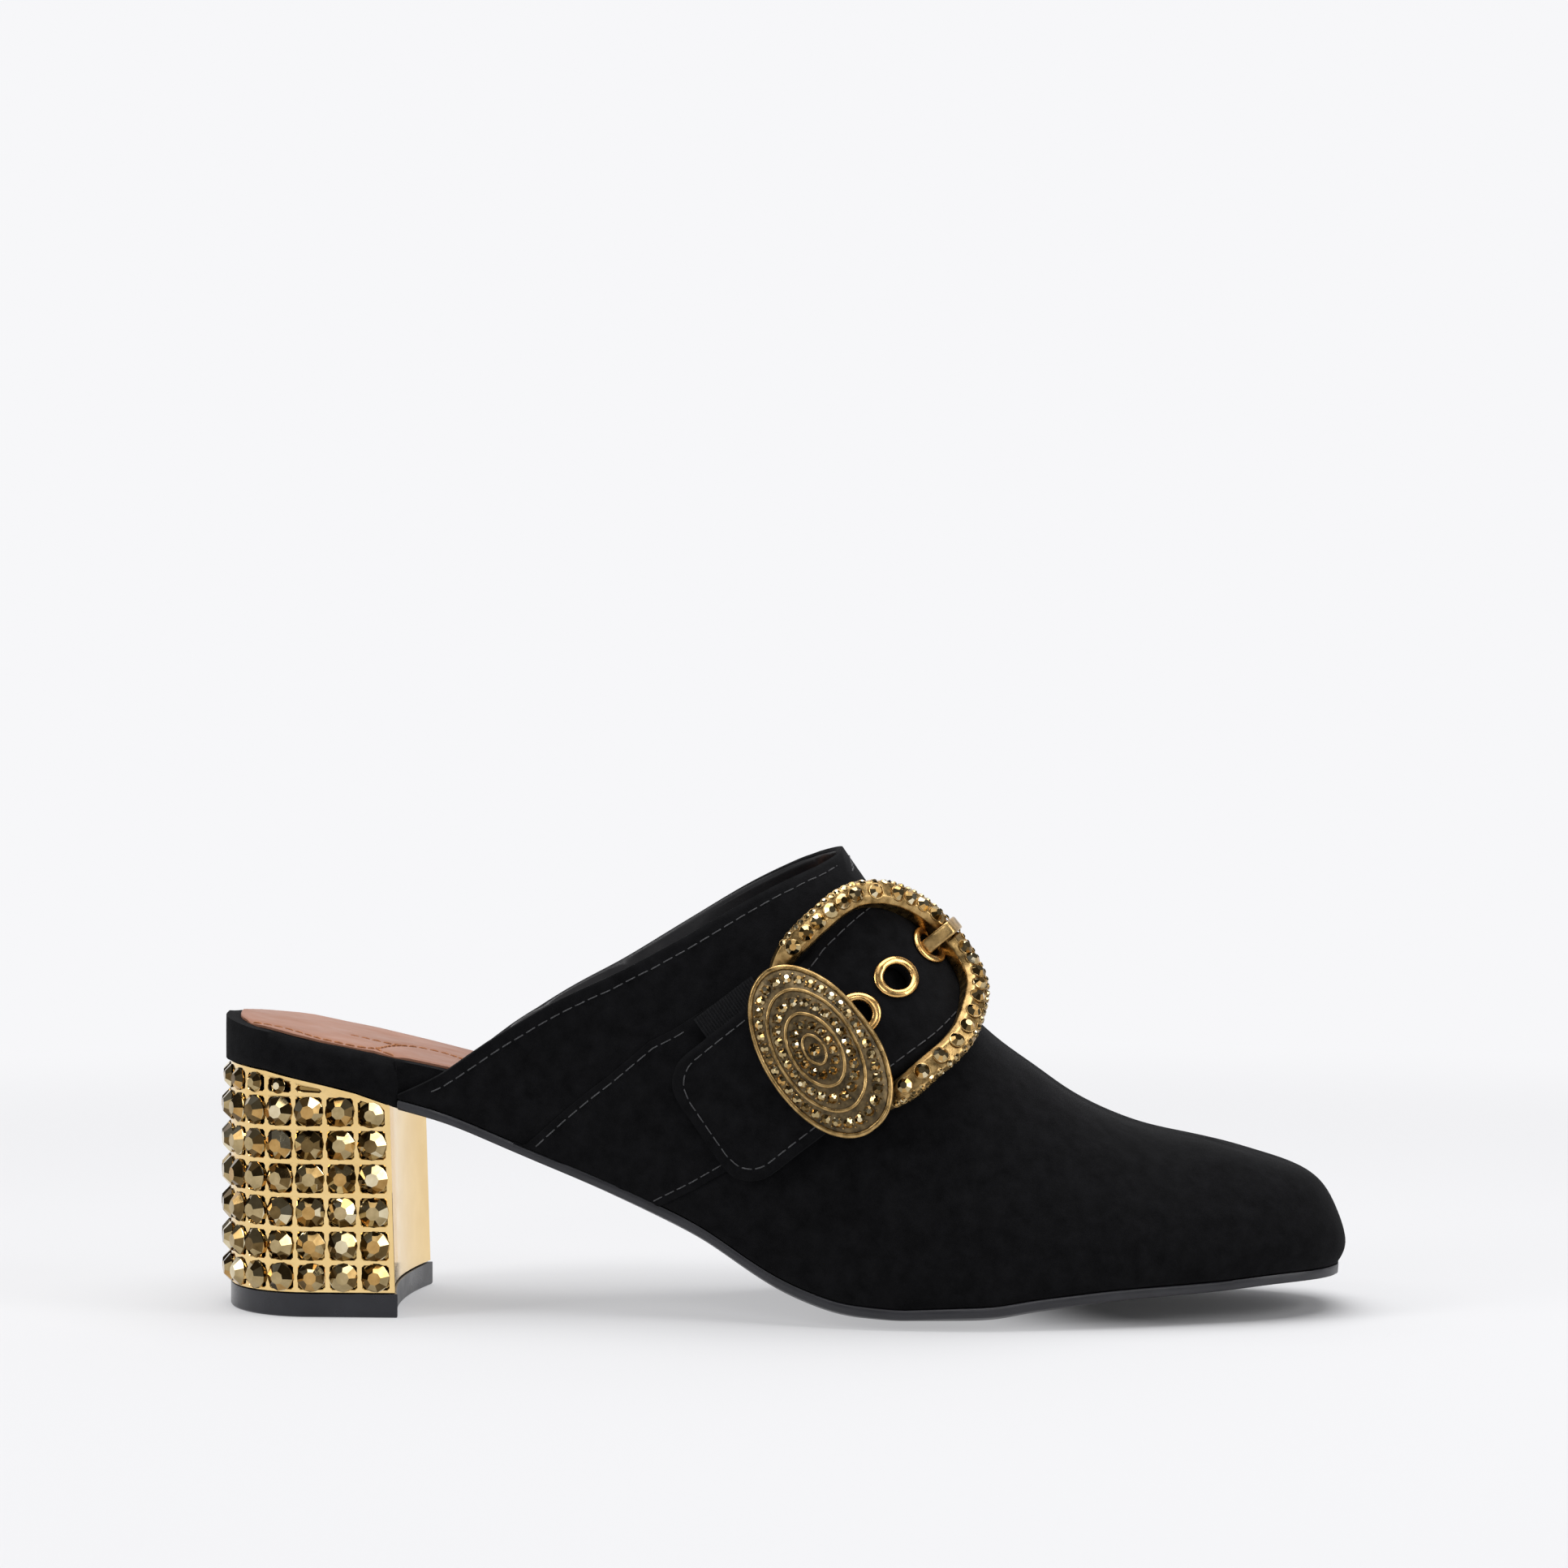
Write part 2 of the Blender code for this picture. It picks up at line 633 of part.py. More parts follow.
def make_footbed():
    """Insole board: thick and wrapped at the seat, thin inside the shoe."""
    outer = np.concatenate(inner_plan(-1, 0.0))
    inner = np.concatenate(inner_plan(1, 0.0))

    def under(x, share):
        on_sole = x > BREAST_LINE - GAP - 0.5 * SEAT_STEP
        return edge_line(x) + (SOLE_EDGE + GAP if on_sole else 0.0)

    def upper_side(x, share):
        return footbed_top(x)

    return slab("footbed", outer, inner, upper_side, under, FOOTBED_STEPS, SUEDE)


def make_sock():
    """Padded insole cover that lies on the footbed."""
    outer = np.concatenate(inner_plan(-1, SOCK_INSET))
    inner = np.concatenate(inner_plan(1, SOCK_INSET))

    def under(x, share):
        return footbed_top(x) + SOCK_CLEARANCE

    def upper_side(x, share):
        return footbed_top(x) + SOCK_CLEARANCE + SOCK_EDGE + SOCK_CROWN * (1.0 - share**2)

    return slab("sock", outer, inner, upper_side, under, FOOTBED_STEPS, TAN_LEATHER)


def last_grids():
    """Points of every rib on each side of the last, and the number of the throat's rib."""
    shares, peak = rib_shares()
    grids = {side: np.array([rib(side, share) for share in shares]) for side in (-1, 1)}
    return grids, peak


def make_upper():
    """Hollow wall of vamp and quarters, open at the collar, the heel and underneath."""
    grids, peak = last_grids()
    normals = shell_normals(grids)
    top = RIB_STEPS
    points = []
    faces = []

    def add(point):
        points.append(point)
        return len(points) - 1

    skins = {}
    for side, grid in grids.items():
        skins[side, 0] = [[add(point) for point in row] for row in grid]
        lining = grid - normals[side] * upper_wall(grid[:, :, :1])
        lining[:, 0, 2] = grid[:, 0, 2]
        skins[side, 1] = [[add(point) for point in row] for row in lining]
    for side in (-1, 1):
        for skin in (0, 1):
            rows = skins[side, skin]
            for i in range(len(rows) - 1):
                for j in range(top):
                    faces.append(
                        (rows[i][j], rows[i + 1][j], rows[i + 1][j + 1], rows[i][j + 1])
                    )
        shell = skins[side, 0]
        lining = skins[side, 1]
        for i in range(len(shell) - 1):
            faces.append((shell[i][0], shell[i + 1][0], lining[i + 1][0], lining[i][0]))
            if i >= peak:
                faces.append(
                    (shell[i][top], shell[i + 1][top], lining[i + 1][top], lining[i][top])
                )
        for j in range(top):
            faces.append(
                (shell[-1][j], shell[-1][j + 1], lining[-1][j + 1], lining[-1][j])
            )
    return new_object("upper", (points, faces), SUEDE)


def shell_normals(grids):
    """Outward normals of both sides' grids, shared wherever the two sides meet."""
    spots = np.concatenate([grid.reshape(-1, 3) for grid in grids.values()])
    _, index = np.unique(np.round(spots / (0.01 * MM)), axis=0, return_inverse=True)
    index = index.reshape(-1)
    sums = np.zeros((index.max() + 1, 3))
    used = 0
    numbers = {}
    for side, grid in grids.items():
        count = grid.shape[0] * grid.shape[1]
        numbers[side] = index[used:used + count].reshape(grid.shape[:2])
        used += count
        falling = grid[1:, 1:] - grid[:-1, :-1]
        rising = grid[:-1, 1:] - grid[1:, :-1]
        facing = np.cross(falling, rising) * side
        for rows in (slice(None, -1), slice(1, None)):
            for steps in (slice(None, -1), slice(1, None)):
                np.add.at(sums, numbers[side][rows, steps], facing)
    normals = {}
    for side in grids:
        found = sums[numbers[side]]
        found[:, 0, 2] = 0.0
        normals[side] = found / np.linalg.norm(found, axis=2)[..., None]
    return normals


def heel_line(front, back, half, count):
    """Plan of the heel from the outer breast corner round the back to the inner one."""
    turn = np.linspace(-0.5 * math.pi, 0.5 * math.pi, 400)
    arc = np.stack((-back * np.cos(turn), half * np.sin(turn)), axis=1)
    line = np.concatenate(([[front, -half]], arc, [[front, half]]))
    return spread(line, count)


def breast_line(front, half, hollow, count):
    """Plan of the hollow breast from the inner corner to the outer one, ends left out."""
    shares = np.linspace(1.0, -1.0, count + 1)[1:-1]
    return np.stack((front - hollow * (1.0 - shares**2), shares * half), axis=1)


def make_top_lift():
    """Heel tip, slightly proud of the heel at the breast."""
    front = HEEL_DEPTH_FRONT + HEEL_LEAN
    half = 0.5 * HEEL_WIDTH
    plan = np.concatenate(
        (
            heel_line(front + LIFT_PROUD, HEEL_BACK, half, 2 * CELL_COLUMNS + 1),
            breast_line(front + LIFT_PROUD, half, BREAST_HOLLOW, 12),
        )
    )
    count = len(plan)
    points = [(x, y, z) for z in (0.0, LIFT_HEIGHT) for x, y in plan]
    faces = [tuple(range(count - 1, -1, -1)), tuple(range(count, 2 * count))]
    for k in range(count):
        after = (k + 1) % count
        faces.append((k, after, after + count, k + count))
    return new_object("top_lift", (points, faces), RUBBER)


def heel_top(x):
    """Height of the heel block's top, under the wrapped seat."""
    return edge_line(x) - GAP


def make_heel_block():
    """Block heel with rows of cells round its back and sides, a stud in each cell."""
    foot = LIFT_HEIGHT + GAP
    half = 0.5 * HEEL_WIDTH
    breast_steps = 12
    levels = CELL_ROWS + 2
    rows = [foot] + [foot + CELL_FIRST + CELL_ROW * row for row in range(CELL_ROWS)]
    points = []
    columns = []
    rim = heel_line(HEEL_DEPTH_FRONT, HEEL_BACK, half, CELL_COLUMNS + 1)
    breast = breast_line(HEEL_DEPTH_FRONT, half, BREAST_HOLLOW, breast_steps)
    plan = np.concatenate((rim, breast))
    full = max(heel_top(x) for x, y in plan)
    for x, y in plan:
        crown = heel_top(x)
        limit = crown - 0.5 * MM
        heights = [min(height, limit) for height in rows] + [crown]
        column_points = []
        for height in heights:
            lean = HEEL_LEAN * (full - height) / (full - foot)
            forward = np.clip((x + HEEL_BACK) / (HEEL_DEPTH_FRONT + HEEL_BACK), 0.0, 1.0)
            column_points.append(len(points))
            points.append((x + lean * forward, y, height))
        columns.append(column_points)
    faces = []
    count = len(columns)
    faces.append(tuple(columns[k][0] for k in range(count - 1, -1, -1)))
    top_ring = [columns[k][levels - 1] for k in range(count)]
    for k in range(count):
        here = columns[k]
        after = columns[(k + 1) % count]
        for level in range(levels - 1):
            quad = (here[level], after[level], after[level + 1], here[level + 1])
            tall = min(points[here[level + 1]][2], points[after[level + 1]][2])
            if k < CELL_COLUMNS and tall - points[here[level]][2] > SMALLEST_CELL:
                add_stud(points, faces, quad)
            else:
                faces.append(quad)
    for k in range(1, count // 2):
        faces.append((top_ring[k - 1], top_ring[k], top_ring[count - 1 - k],
                      top_ring[(count - k) % count]))
    middle = count // 2
    left = top_ring[middle - 1:count - middle + 1]
    if len(left) > 2:
        faces.append(tuple(left))
    return new_object("heel_block", (points, faces), GOLD)


def add_stud(points, faces, quad):
    """A low eight-sided stud in the middle of a four-sided cell."""
    corners = [Vector(points[k]) for k in quad]
    centre = sum(corners, Vector()) / 4.0
    across = (corners[1] + corners[2] - corners[0] - corners[3]).normalized()
    upward = corners[3] + corners[2] - corners[0] - corners[1]
    outward = upward.cross(across).normalized()
    upward = across.cross(outward)
    height = min((corners[3] - corners[0]).length, (corners[2] - corners[1]).length)
    shrink = min(1.0, (0.5 * height - GAP) / STUD_RADIUS)
    rings = []
    for radius, lift in ((STUD_RADIUS, 0.0), (STUD_TABLE, STUD_RISE)):
        ring = []
        for k in range(STUD_SIDES):
            angle = 2.0 * math.pi * (k - 2.5) / STUD_SIDES
            spot = math.cos(angle) * across + math.sin(angle) * upward
            ring.append(len(points))
            points.append(tuple(centre + shrink * (radius * spot + lift * outward)))
        rings.append(ring)
    foot, table = rings
    for k in range(4):
        faces.append((quad[k], foot[2 * k], foot[2 * k - 1]))
        faces.append((quad[k], quad[(k + 1) % 4], foot[2 * k + 1], foot[2 * k]))
    for k in range(STUD_SIDES):
        after = (k + 1) % STUD_SIDES
        faces.append((foot[k], foot[after], table[after], table[k]))
    faces.append(tuple(table))


class StrapPath:
    """Places on the upper's outer surface, by distance along and across the strap."""

    def __init__(self, upper):
        mesh = upper.data
        spots = [point.co.copy() for point in mesh.vertices]
        tree = BVHTree.FromPolygons(spots, [tuple(face.vertices) for face in mesh.polygons])
        self.across = np.linspace(-STRAP_REACH, STRAP_REACH, STRAP_ROWS)
        self.spots = np.array([self.section(tree, offset) for offset in self.across])
        middle = self.spots[STRAP_ROWS // 2]
        steps = np.linalg.norm(np.diff(middle, axis=0), axis=1)
        self.along = np.concatenate(([0.0], np.cumsum(steps))) - STRAP_START
        up = np.gradient(self.spots, axis=0)
        forward = np.gradient(self.spots, axis=1)
        normals = np.cross(forward, up)
        self.normals = normals / np.linalg.norm(normals, axis=2)[..., None]

    def section(self, tree, offset):
        """Points where the plane at this distance across the strap meets the upper."""
        ahead = np.array((math.cos(STRAP_RISE), 0.0, math.sin(STRAP_RISE)))
        upward = np.array((-math.sin(STRAP_RISE), 0.0, math.cos(STRAP_RISE)))
        middle = np.array((place_along(STRAP_PLACE), 0.0, STRAP_LEVEL * INSTEP_HEIGHT))
        middle += offset * upward
        side = np.array((0.0, 1.0, 0.0))
        far = SHOE_LENGTH
        rays = []
        for back in np.arange(STRAP_BELOW, 0.0, -STRAP_STEP):
            rays.append((middle - back * ahead - far * side, side))
        for turn in np.linspace(-0.5 * math.pi, 0.5 * math.pi, STRAP_TURNS + 1):
            outward = math.cos(turn) * ahead + math.sin(turn) * side
            rays.append((middle + far * outward, -outward))
        for back in np.arange(STRAP_STEP, STRAP_END + STRAP_STEP, STRAP_STEP):
            rays.append((middle - back * ahead + far * side, -side))
        hits = [tree.ray_cast(Vector(start), Vector(way))[0] for start, way in rays]
        met = [k for k, hit in enumerate(hits) if hit]
        first = met[0]
        for k in range(first - 1, -1, -1):
            hits[k] = 2.0 * hits[k + 1] - hits[k + 2]
        for k in range(first + 1, len(hits)):
            if not hits[k]:
                hits[k] = 2.0 * hits[k - 1] - hits[k - 2]
        return hits

    def place(self, along, across, lift):
        """The point at a height over the surface, and the outward normal there."""
        found = []
        for grid in (self.spots, self.normals):
            rows = [
                [np.interp(along, self.along, grid[row, :, axis]) for axis in range(3)]
                for row in range(STRAP_ROWS)
            ]
            rows = np.array(rows)
            found.append(
                np.array([np.interp(across, self.across, rows[:, axis]) for axis in range(3)])
            )
        normal = found[1] / np.linalg.norm(found[1])
        return found[0] + lift * normal, normal


def strap_value(name, along):
    """A column of the strap's table, in metres, at a distance along the strap."""
    places = column(STRAP, STRAP_COLUMNS, "along") * STRAP_WIDTH
    return float(smooth(places, column(STRAP, STRAP_COLUMNS, name) * STRAP_WIDTH, along))


def strap_top(along):
    """Height of the strap's face over the upper."""
    return strap_value("lift", along) + STRAP_THICKNESS


def strap_edges(along):
    """Lower and upper edge of the strap, rounded at its free end."""
    centre = strap_value("centre", along)
    half = strap_value("half", along)
    short = max(0.0, STRAP_CORNER - along)
    trim = STRAP_CORNER - math.sqrt(max(0.0, STRAP_CORNER**2 - short**2))
    return centre - half + trim, centre + half - trim


def make_band(name, path, stations, edges, low, high, cells, finish):
    """A closed band on the upper; edges, low and high are functions of the distance."""
    points = []
    faces = []
    rows = []
    for along in stations:
        first, last = edges(along)
        row = []
        for across in np.linspace(first, last, cells + 1):
            row.append((len(points), len(points) + 1))
            points.append(path.place(along, across, low(along))[0])
            points.append(path.place(along, across, high(along))[0])
        rows.append(row)
    for first, second in zip(rows[:-1], rows[1:]):
        join_rows(faces, first, second)
    for end in (rows[0], rows[-1]):
        for left, right in zip(end[:-1], end[1:]):
            faces.append((left[0], right[0], right[1], left[1]))
    return new_object(name, (points, faces), finish)


def make_strap(path):
    """Strap over the instep, with a hole for each eyelet."""
    strap = make_band(
        "buckle_strap",
        path,
        [place * STRAP_WIDTH for place in STRAP_STATIONS],
        strap_edges,
        lambda along: strap_value("lift", along),
        strap_top,
        STRAP_CELLS,
        SUEDE,
    )
    for number, (along, across) in enumerate(EYELETS):
        spot, normal = path.place(along, across, strap_value("lift", along))
        deep = 3.0 * STRAP_THICKNESS
        ring = circle(spot - deep * normal, normal, EYELET_HOLE + GAP, EYELET_SIDES)
        ring += circle(spot + deep * normal, normal, EYELET_HOLE + GAP, EYELET_SIDES)
        cut_with(strap, prism(f"eyelet_cutter_{number}", ring))


def circle(centre, normal, radius, sides):
    """Points of a circle round an axis."""
    axis = Vector(normal).normalized()
    first = axis.cross(Vector((0.0, 1.0, 0.3))).normalized()
    second = axis.cross(first)
    turns = [2.0 * math.pi * k / sides for k in range(sides)]
    return [
        Vector(centre) + radius * (math.cos(turn) * first + math.sin(turn) * second)
        for turn in turns
    ]


def prism(name, rings):
    """A closed solid between two rings of points, given one after the other."""
    count = len(rings) // 2
    faces = [tuple(range(count - 1, -1, -1)), tuple(range(count, 2 * count))]
    for k in range(count):
        after = (k + 1) % count
        faces.append((k, after, after + count, k + count))
    return new_object(name, (rings, faces), SUEDE)


def cut_with(piece, cutter):
    """Take a cutter's volume out of a piece, and remove the cutter."""
    cut = piece.modifiers.new("cut", "BOOLEAN")
    cut.operation = "DIFFERENCE"
    cut.solver = "EXACT"
    cut.object = cutter
    shape = bpy.context.evaluated_depsgraph_get()
    shape.update()
    changed = bpy.data.meshes.new_from_object(piece.evaluated_get(shape))
    piece.modifiers.clear()
    piece.data = changed
    bpy.data.objects.remove(cutter, do_unlink=True)


def make_gore(path):
    """Elastic between the quarter and the buckle's hinge bar."""
    make_band(
        "buckle_gore",
        path,
        np.linspace(*GORE_ALONG, 6),
        lambda along: GORE_ACROSS,
        lambda along: GAP,
        lambda along: GAP + GORE_THICKNESS,
        4,
        ELASTIC,
    )


def ring_line():
    """Even steps along the closed middle line of the buckle's ring."""
    knots = np.array(RING) * RING_LENGTH
    closed = []
    count = len(knots)
    for k in range(count):
        before, here, after, later = (knots[(k + step) % count] for step in (-1, 0, 1, 2))
        for share in np.linspace(0.0, 1.0, 8, endpoint=False):
            closed.append(
                here
                + 0.5 * share * (after - before)
                + share**2 * (before - 2.5 * here + 2.0 * after - 0.5 * later)
                + share**3 * (1.5 * here - 1.5 * after + 0.5 * later - 0.5 * before)
            )
    closed.append(closed[0])
    return spread(closed, RING_STEPS + 1)[:-1]


def make_ring(path):
    """The buckle's frame: a cast bar bent round, with a notch where the prong rests."""
    line = ring_line()
    count = len(line)
    profile = (
        (-0.50, -0.30), (-0.36, -0.50), (0.36, -0.50), (0.50, -0.30),
        (0.50, 0.12), (0.30, 0.50), (-0.30, 0.50), (-0.50, 0.12),
    )
    spots = [path.place(along, across, lift) for along, across, lift, size in line]
    points = []
    for k, (spot, normal) in enumerate(spots):
        ahead = spots[(k + 1) % count][0] - spots[k - 1][0]
        sideways = np.cross(ahead, normal)
        sideways /= np.linalg.norm(sideways)
        upward = np.cross(sideways, ahead)
        upward /= np.linalg.norm(upward)
        size = line[k, 3] / RING_LENGTH
        for across, high in profile:
            offset = across * RING_WIDTH * sideways + high * RING_THICKNESS * upward
            points.append(spot + size * offset)
    sides = len(profile)
    faces = []
    for k in range(count):
        after = (k + 1) % count
        for j in range(sides):
            step = (j + 1) % sides
            faces.append((k * sides + j, after * sides + j,
                          after * sides + step, k * sides + step))
    ring = new_object("buckle_frame", (points, faces), BRASS)
    notch = prong_points(path, PRONG_NOTCH, PRONG_THICKNESS + 2.0 * GAP)
    cut_with(ring, sweep("notch_cutter", notch[4 * PRONG_BEARING:], BRASS))


def prong_points(path, width, thickness):
    """Four corners at each place along the prong."""
    corners = []
    across = EYELETS[-1][1]
    line = np.array(PRONG) * RING_LENGTH
    for k, (along, lift) in enumerate(line):
        before = line[max(k - 1, 0)]
        after = line[min(k + 1, len(line) - 1)]
        slope = (after - before) / np.linalg.norm(after - before)
        for side, high in ((-0.5, -0.5), (0.5, -0.5), (0.5, 0.5), (-0.5, 0.5)):
            place = along - high * thickness * slope[1]
            level = lift + high * thickness * slope[0]
            corners.append(path.place(place, across + side * width, level)[0])
    return corners


def sweep(name, corners, finish):
    """A closed four-sided bar from its corners at each place along it."""
    count = len(corners) // 4
    faces = [(3, 2, 1, 0), tuple(range(4 * count - 4, 4 * count))]
    for k in range(count - 1):
        for j in range(4):
            step = (j + 1) % 4
            faces.append((4 * k + j, 4 * k + step, 4 * k + 4 + step, 4 * k + 4 + j))
    return new_object(name, (corners, faces), finish)


def make_prong(path):
    """Prong that comes out of the last eyelet and rests on the frame."""
    sweep("buckle_prong", prong_points(path, PRONG_WIDTH, PRONG_THICKNESS), BRASS)


def make_eyelets(path):
    """A rounded metal ring round each hole of the strap."""
    half = 0.5 * (EYELET_RADIUS - EYELET_HOLE)
    middle = 0.5 * (EYELET_RADIUS + EYELET_HOLE)
    section = ((-half, 0.0), (half, 0.0), (0.4 * half, EYELET_RISE), (-0.6 * half, EYELET_RISE))
    for number, (along, across) in enumerate(EYELETS):
        points = []
        faces = []
        for wide, high in section:
            for k in range(EYELET_SIDES):
                turn = 2.0 * math.pi * k / EYELET_SIDES
                place = along + (middle + wide) * math.cos(turn)
                level = strap_top(place) + GAP + high
                spot = across + (middle + wide) * math.sin(turn)
                points.append(path.place(place, spot, level)[0])
        for j in range(len(section)):
            step = (j + 1) % len(section)
            for k in range(EYELET_SIDES):
                after = (k + 1) % EYELET_SIDES
                faces.append((j * EYELET_SIDES + k, j * EYELET_SIDES + after,
                              step * EYELET_SIDES + after, step * EYELET_SIDES + k))
        new_object(f"eyelet_{number + 1}", (points, faces), SATIN_GOLD)


def make_boss(path):
    """Plain domed medallion over the strap where the hinge bar lies."""
    points = []
    faces = []
    rings = ((1.0, -1.0), (1.0, 0.0), (0.80, 0.45), (0.45, 0.85))
    for size, high in rings:
        for k in range(BOSS_SIDES):
            turn = 2.0 * math.pi * k / BOSS_SIDES
            along = BOSS_ALONG + 0.5 * size * BOSS_WIDTH * math.cos(turn)
            across = BOSS_ACROSS + 0.5 * size * BOSS_LENGTH * math.sin(turn)
            lift = strap_top(along) + BOSS_CLEARANCE
            lift += BOSS_EDGE + (high * BOSS_DOME if high > 0.0 else high * BOSS_EDGE)
            points.append(path.place(along, across, lift)[0])
    top = len(points)
    base = strap_top(BOSS_ALONG) + BOSS_CLEARANCE
    crown = base + BOSS_EDGE + BOSS_DOME
    points.append(path.place(BOSS_ALONG, BOSS_ACROSS, crown)[0])
    bottom = len(points)
    points.append(path.place(BOSS_ALONG, BOSS_ACROSS, base)[0])
    for k in range(BOSS_SIDES):
        after = (k + 1) % BOSS_SIDES
        for level in range(len(rings) - 1):
            low = level * BOSS_SIDES
            faces.append((low + k, low + after, low + BOSS_SIDES + after, low + BOSS_SIDES + k))
        last = (len(rings) - 1) * BOSS_SIDES
        faces.append((last + k, last + after, top))
        faces.append((after, k, bottom))
    new_object("buckle_boss", (points, faces), BRASS)


def main():
    """Build every piece of the shoe."""
    clear_scene()
    make_top_lift()
    make_heel_block()
    make_outsole()
    make_footbed()
    make_sock()
    upper = make_upper()
    path = StrapPath(upper)
    make_gore(path)
    make_strap(path)
    make_ring(path)
    make_prong(path)
    make_eyelets(path)
    make_boss(path)


main()
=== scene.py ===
"""Looks of the mule shoe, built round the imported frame.

X runs to the toe, Y to the inner side of the foot and Z up. Lengths are in metres.
"""

import math
import random

import bmesh
import bpy
import numpy as np
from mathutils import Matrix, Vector
from mathutils.bvhtree import BVHTree


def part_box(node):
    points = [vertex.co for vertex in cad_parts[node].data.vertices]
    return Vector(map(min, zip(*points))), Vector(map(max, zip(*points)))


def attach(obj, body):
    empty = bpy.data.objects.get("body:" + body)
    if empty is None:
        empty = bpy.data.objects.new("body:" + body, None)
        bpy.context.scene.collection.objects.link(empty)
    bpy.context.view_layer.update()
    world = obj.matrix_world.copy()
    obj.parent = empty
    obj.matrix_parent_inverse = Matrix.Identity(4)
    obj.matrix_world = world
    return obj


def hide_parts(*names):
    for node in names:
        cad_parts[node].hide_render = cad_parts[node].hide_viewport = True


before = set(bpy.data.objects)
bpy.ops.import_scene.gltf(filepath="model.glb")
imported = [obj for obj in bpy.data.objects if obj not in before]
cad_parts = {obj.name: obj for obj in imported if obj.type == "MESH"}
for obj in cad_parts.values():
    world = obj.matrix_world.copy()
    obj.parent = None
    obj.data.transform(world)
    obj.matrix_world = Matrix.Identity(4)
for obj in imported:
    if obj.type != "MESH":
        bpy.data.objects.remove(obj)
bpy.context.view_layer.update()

MM = 0.001
FAR = 150.0 * MM
ABOVE = 200.0 * MM
FULL_TURN = 2.0 * math.pi
BACKDROP = (0.930, 0.930, 0.947, 1.0)

# Heel, as in the frame
HEEL_FRONT = 18.5 * MM
HEEL_BACK = 21.0 * MM
HEEL_HALF = 26.0 * MM
HEEL_LEAN = 1.5 * MM
BREAST_HOLLOW = 2.7 * MM
TIP_PROUD = 0.5 * MM
HEEL_FOOT = 5.5 * MM
CELL_FIRST = 6.5 * MM
CELL_ROW = 7.36 * MM
CELL_ROWS = 6
CELL_COLUMNS = 16
RIB_HALF = 0.5 * MM
POCKET_CORNER = 0.5 * MM
POCKET_DEPTH = 1.6 * MM
CRYSTAL_RADIUS = 3.3 * MM
SMALLEST_POCKET = 1.5 * MM
SMALLEST_CELL = 2.3 * MM

# The strap's path over the instep, as in the frame
STRAP_X = 121.4 * MM
STRAP_Z = 66.6 * MM
STRAP_RISE = math.radians(36.5)
STRAP_REACH = 25.0 * MM
STRAP_BELOW = 46.0 * MM
STRAP_END = 56.0 * MM
STRAP_START = 4.0 * MM
STRAP_STEP = 2.0 * MM
STRAP_TURNS = 30
STRAP_ROWS = 13
STRAP_THICKNESS = 2.0 * MM
STRAP_CORNER = 7.5 * MM
STRAP_TABLE = (
    (0.0, -0.6, 15.7, 0.6),
    (9.0, -0.6, 15.7, 0.7),
    (14.0, -0.6, 15.7, 1.9),
    (22.0, -0.6, 15.7, 2.6),
    (28.0, -0.6, 15.5, 3.9),
    (33.0, -0.5, 15.2, 4.0),
    (39.0, 0.1, 15.4, 2.6),
    (45.0, 1.2, 16.2, 1.4),
    (53.0, 1.6, 16.6, 1.3),
    (60.0, 2.2, 16.6, 1.9),
    (66.0, 2.6, 16.6, 3.0),
    (72.0, 2.8, 16.6, 3.6),
    (80.0, 2.8, 16.6, 2.6),
    (92.0, 2.8, 16.6, 0.9),
    (104.0, 2.8, 16.6, 0.7),
    (172.0, 2.8, 16.6, 0.7),
)
STRAP = dict(zip(("along", "centre", "half", "lift"), np.array(STRAP_TABLE).T * MM))
GORE_ALONG = (13.0 * MM, 28.6 * MM)
GORE_ACROSS = (-14.0 * MM, 20.5 * MM)
GORE_LOW = 0.3 * MM
GORE_THICKNESS = 1.1 * MM
GORE_RIB = 0.65 * MM
RING = (
    (31.0, 10.0, 2.3, 0.55),
    (31.0, 0.0, 2.3, 0.55),
    (31.0, -10.0, 2.3, 0.55),
    (31.8, -14.6, 2.3, 0.60),
    (34.2, -17.3, 2.4, 0.70),
    (38.0, -18.3, 3.0, 0.85),
    (42.0, -18.7, 4.7, 1.00),
    (46.5, -18.3, 5.8, 1.00),
    (51.0, -18.0, 5.9, 1.00),
    (55.5, -16.8, 6.1, 1.00),
    (60.5, -14.2, 6.7, 1.00),
    (66.0, -10.8, 7.8, 1.00),
    (69.5, -6.0, 8.5, 1.00),
    (70.8, 0.0, 8.8, 1.00),
    (70.3, 5.0, 8.7, 1.00),
    (68.5, 10.0, 8.2, 1.00),
    (65.7, 14.2, 7.4, 1.00),
    (62.0, 17.5, 6.6, 1.00),
    (57.6, 19.7, 6.2, 1.00),
    (52.5, 20.4, 6.0, 1.00),
    (47.5, 20.2, 5.8, 1.00),
    (42.2, 19.8, 5.5, 1.00),
    (38.2, 19.2, 4.8, 0.90),
    (34.5, 17.7, 3.2, 0.75),
    (32.2, 14.6, 2.4, 0.60),
)
RING_STEPS = 420
RING_WIDTH = 5.7 * MM
RING_THICKNESS = 3.8 * MM
RING_FACING = 0.45
RING_FRONT = 60.0 * MM
STONES_FROM = 36.5 * MM
NOTCH_HALF = 2.3 * MM
NOTCH_SLOPE = 0.8 * MM
NOTCH_DEPTH = 0.75 * MM
PRONG_CLEARANCE = 2.0 * MM
BOSS_ALONG = 31.5 * MM
BOSS_ACROSS = -2.3 * MM
BOSS_LENGTH = 40.0 * MM
BOSS_WIDTH = 22.0 * MM
BOSS_EDGE = 1.3 * MM
BOSS_DOME = 3.0 * MM
BOSS_CLEARANCE = 1.5 * MM
EYELET_MIDDLE = 3.8 * MM
EYELET_HALF = 0.88 * MM
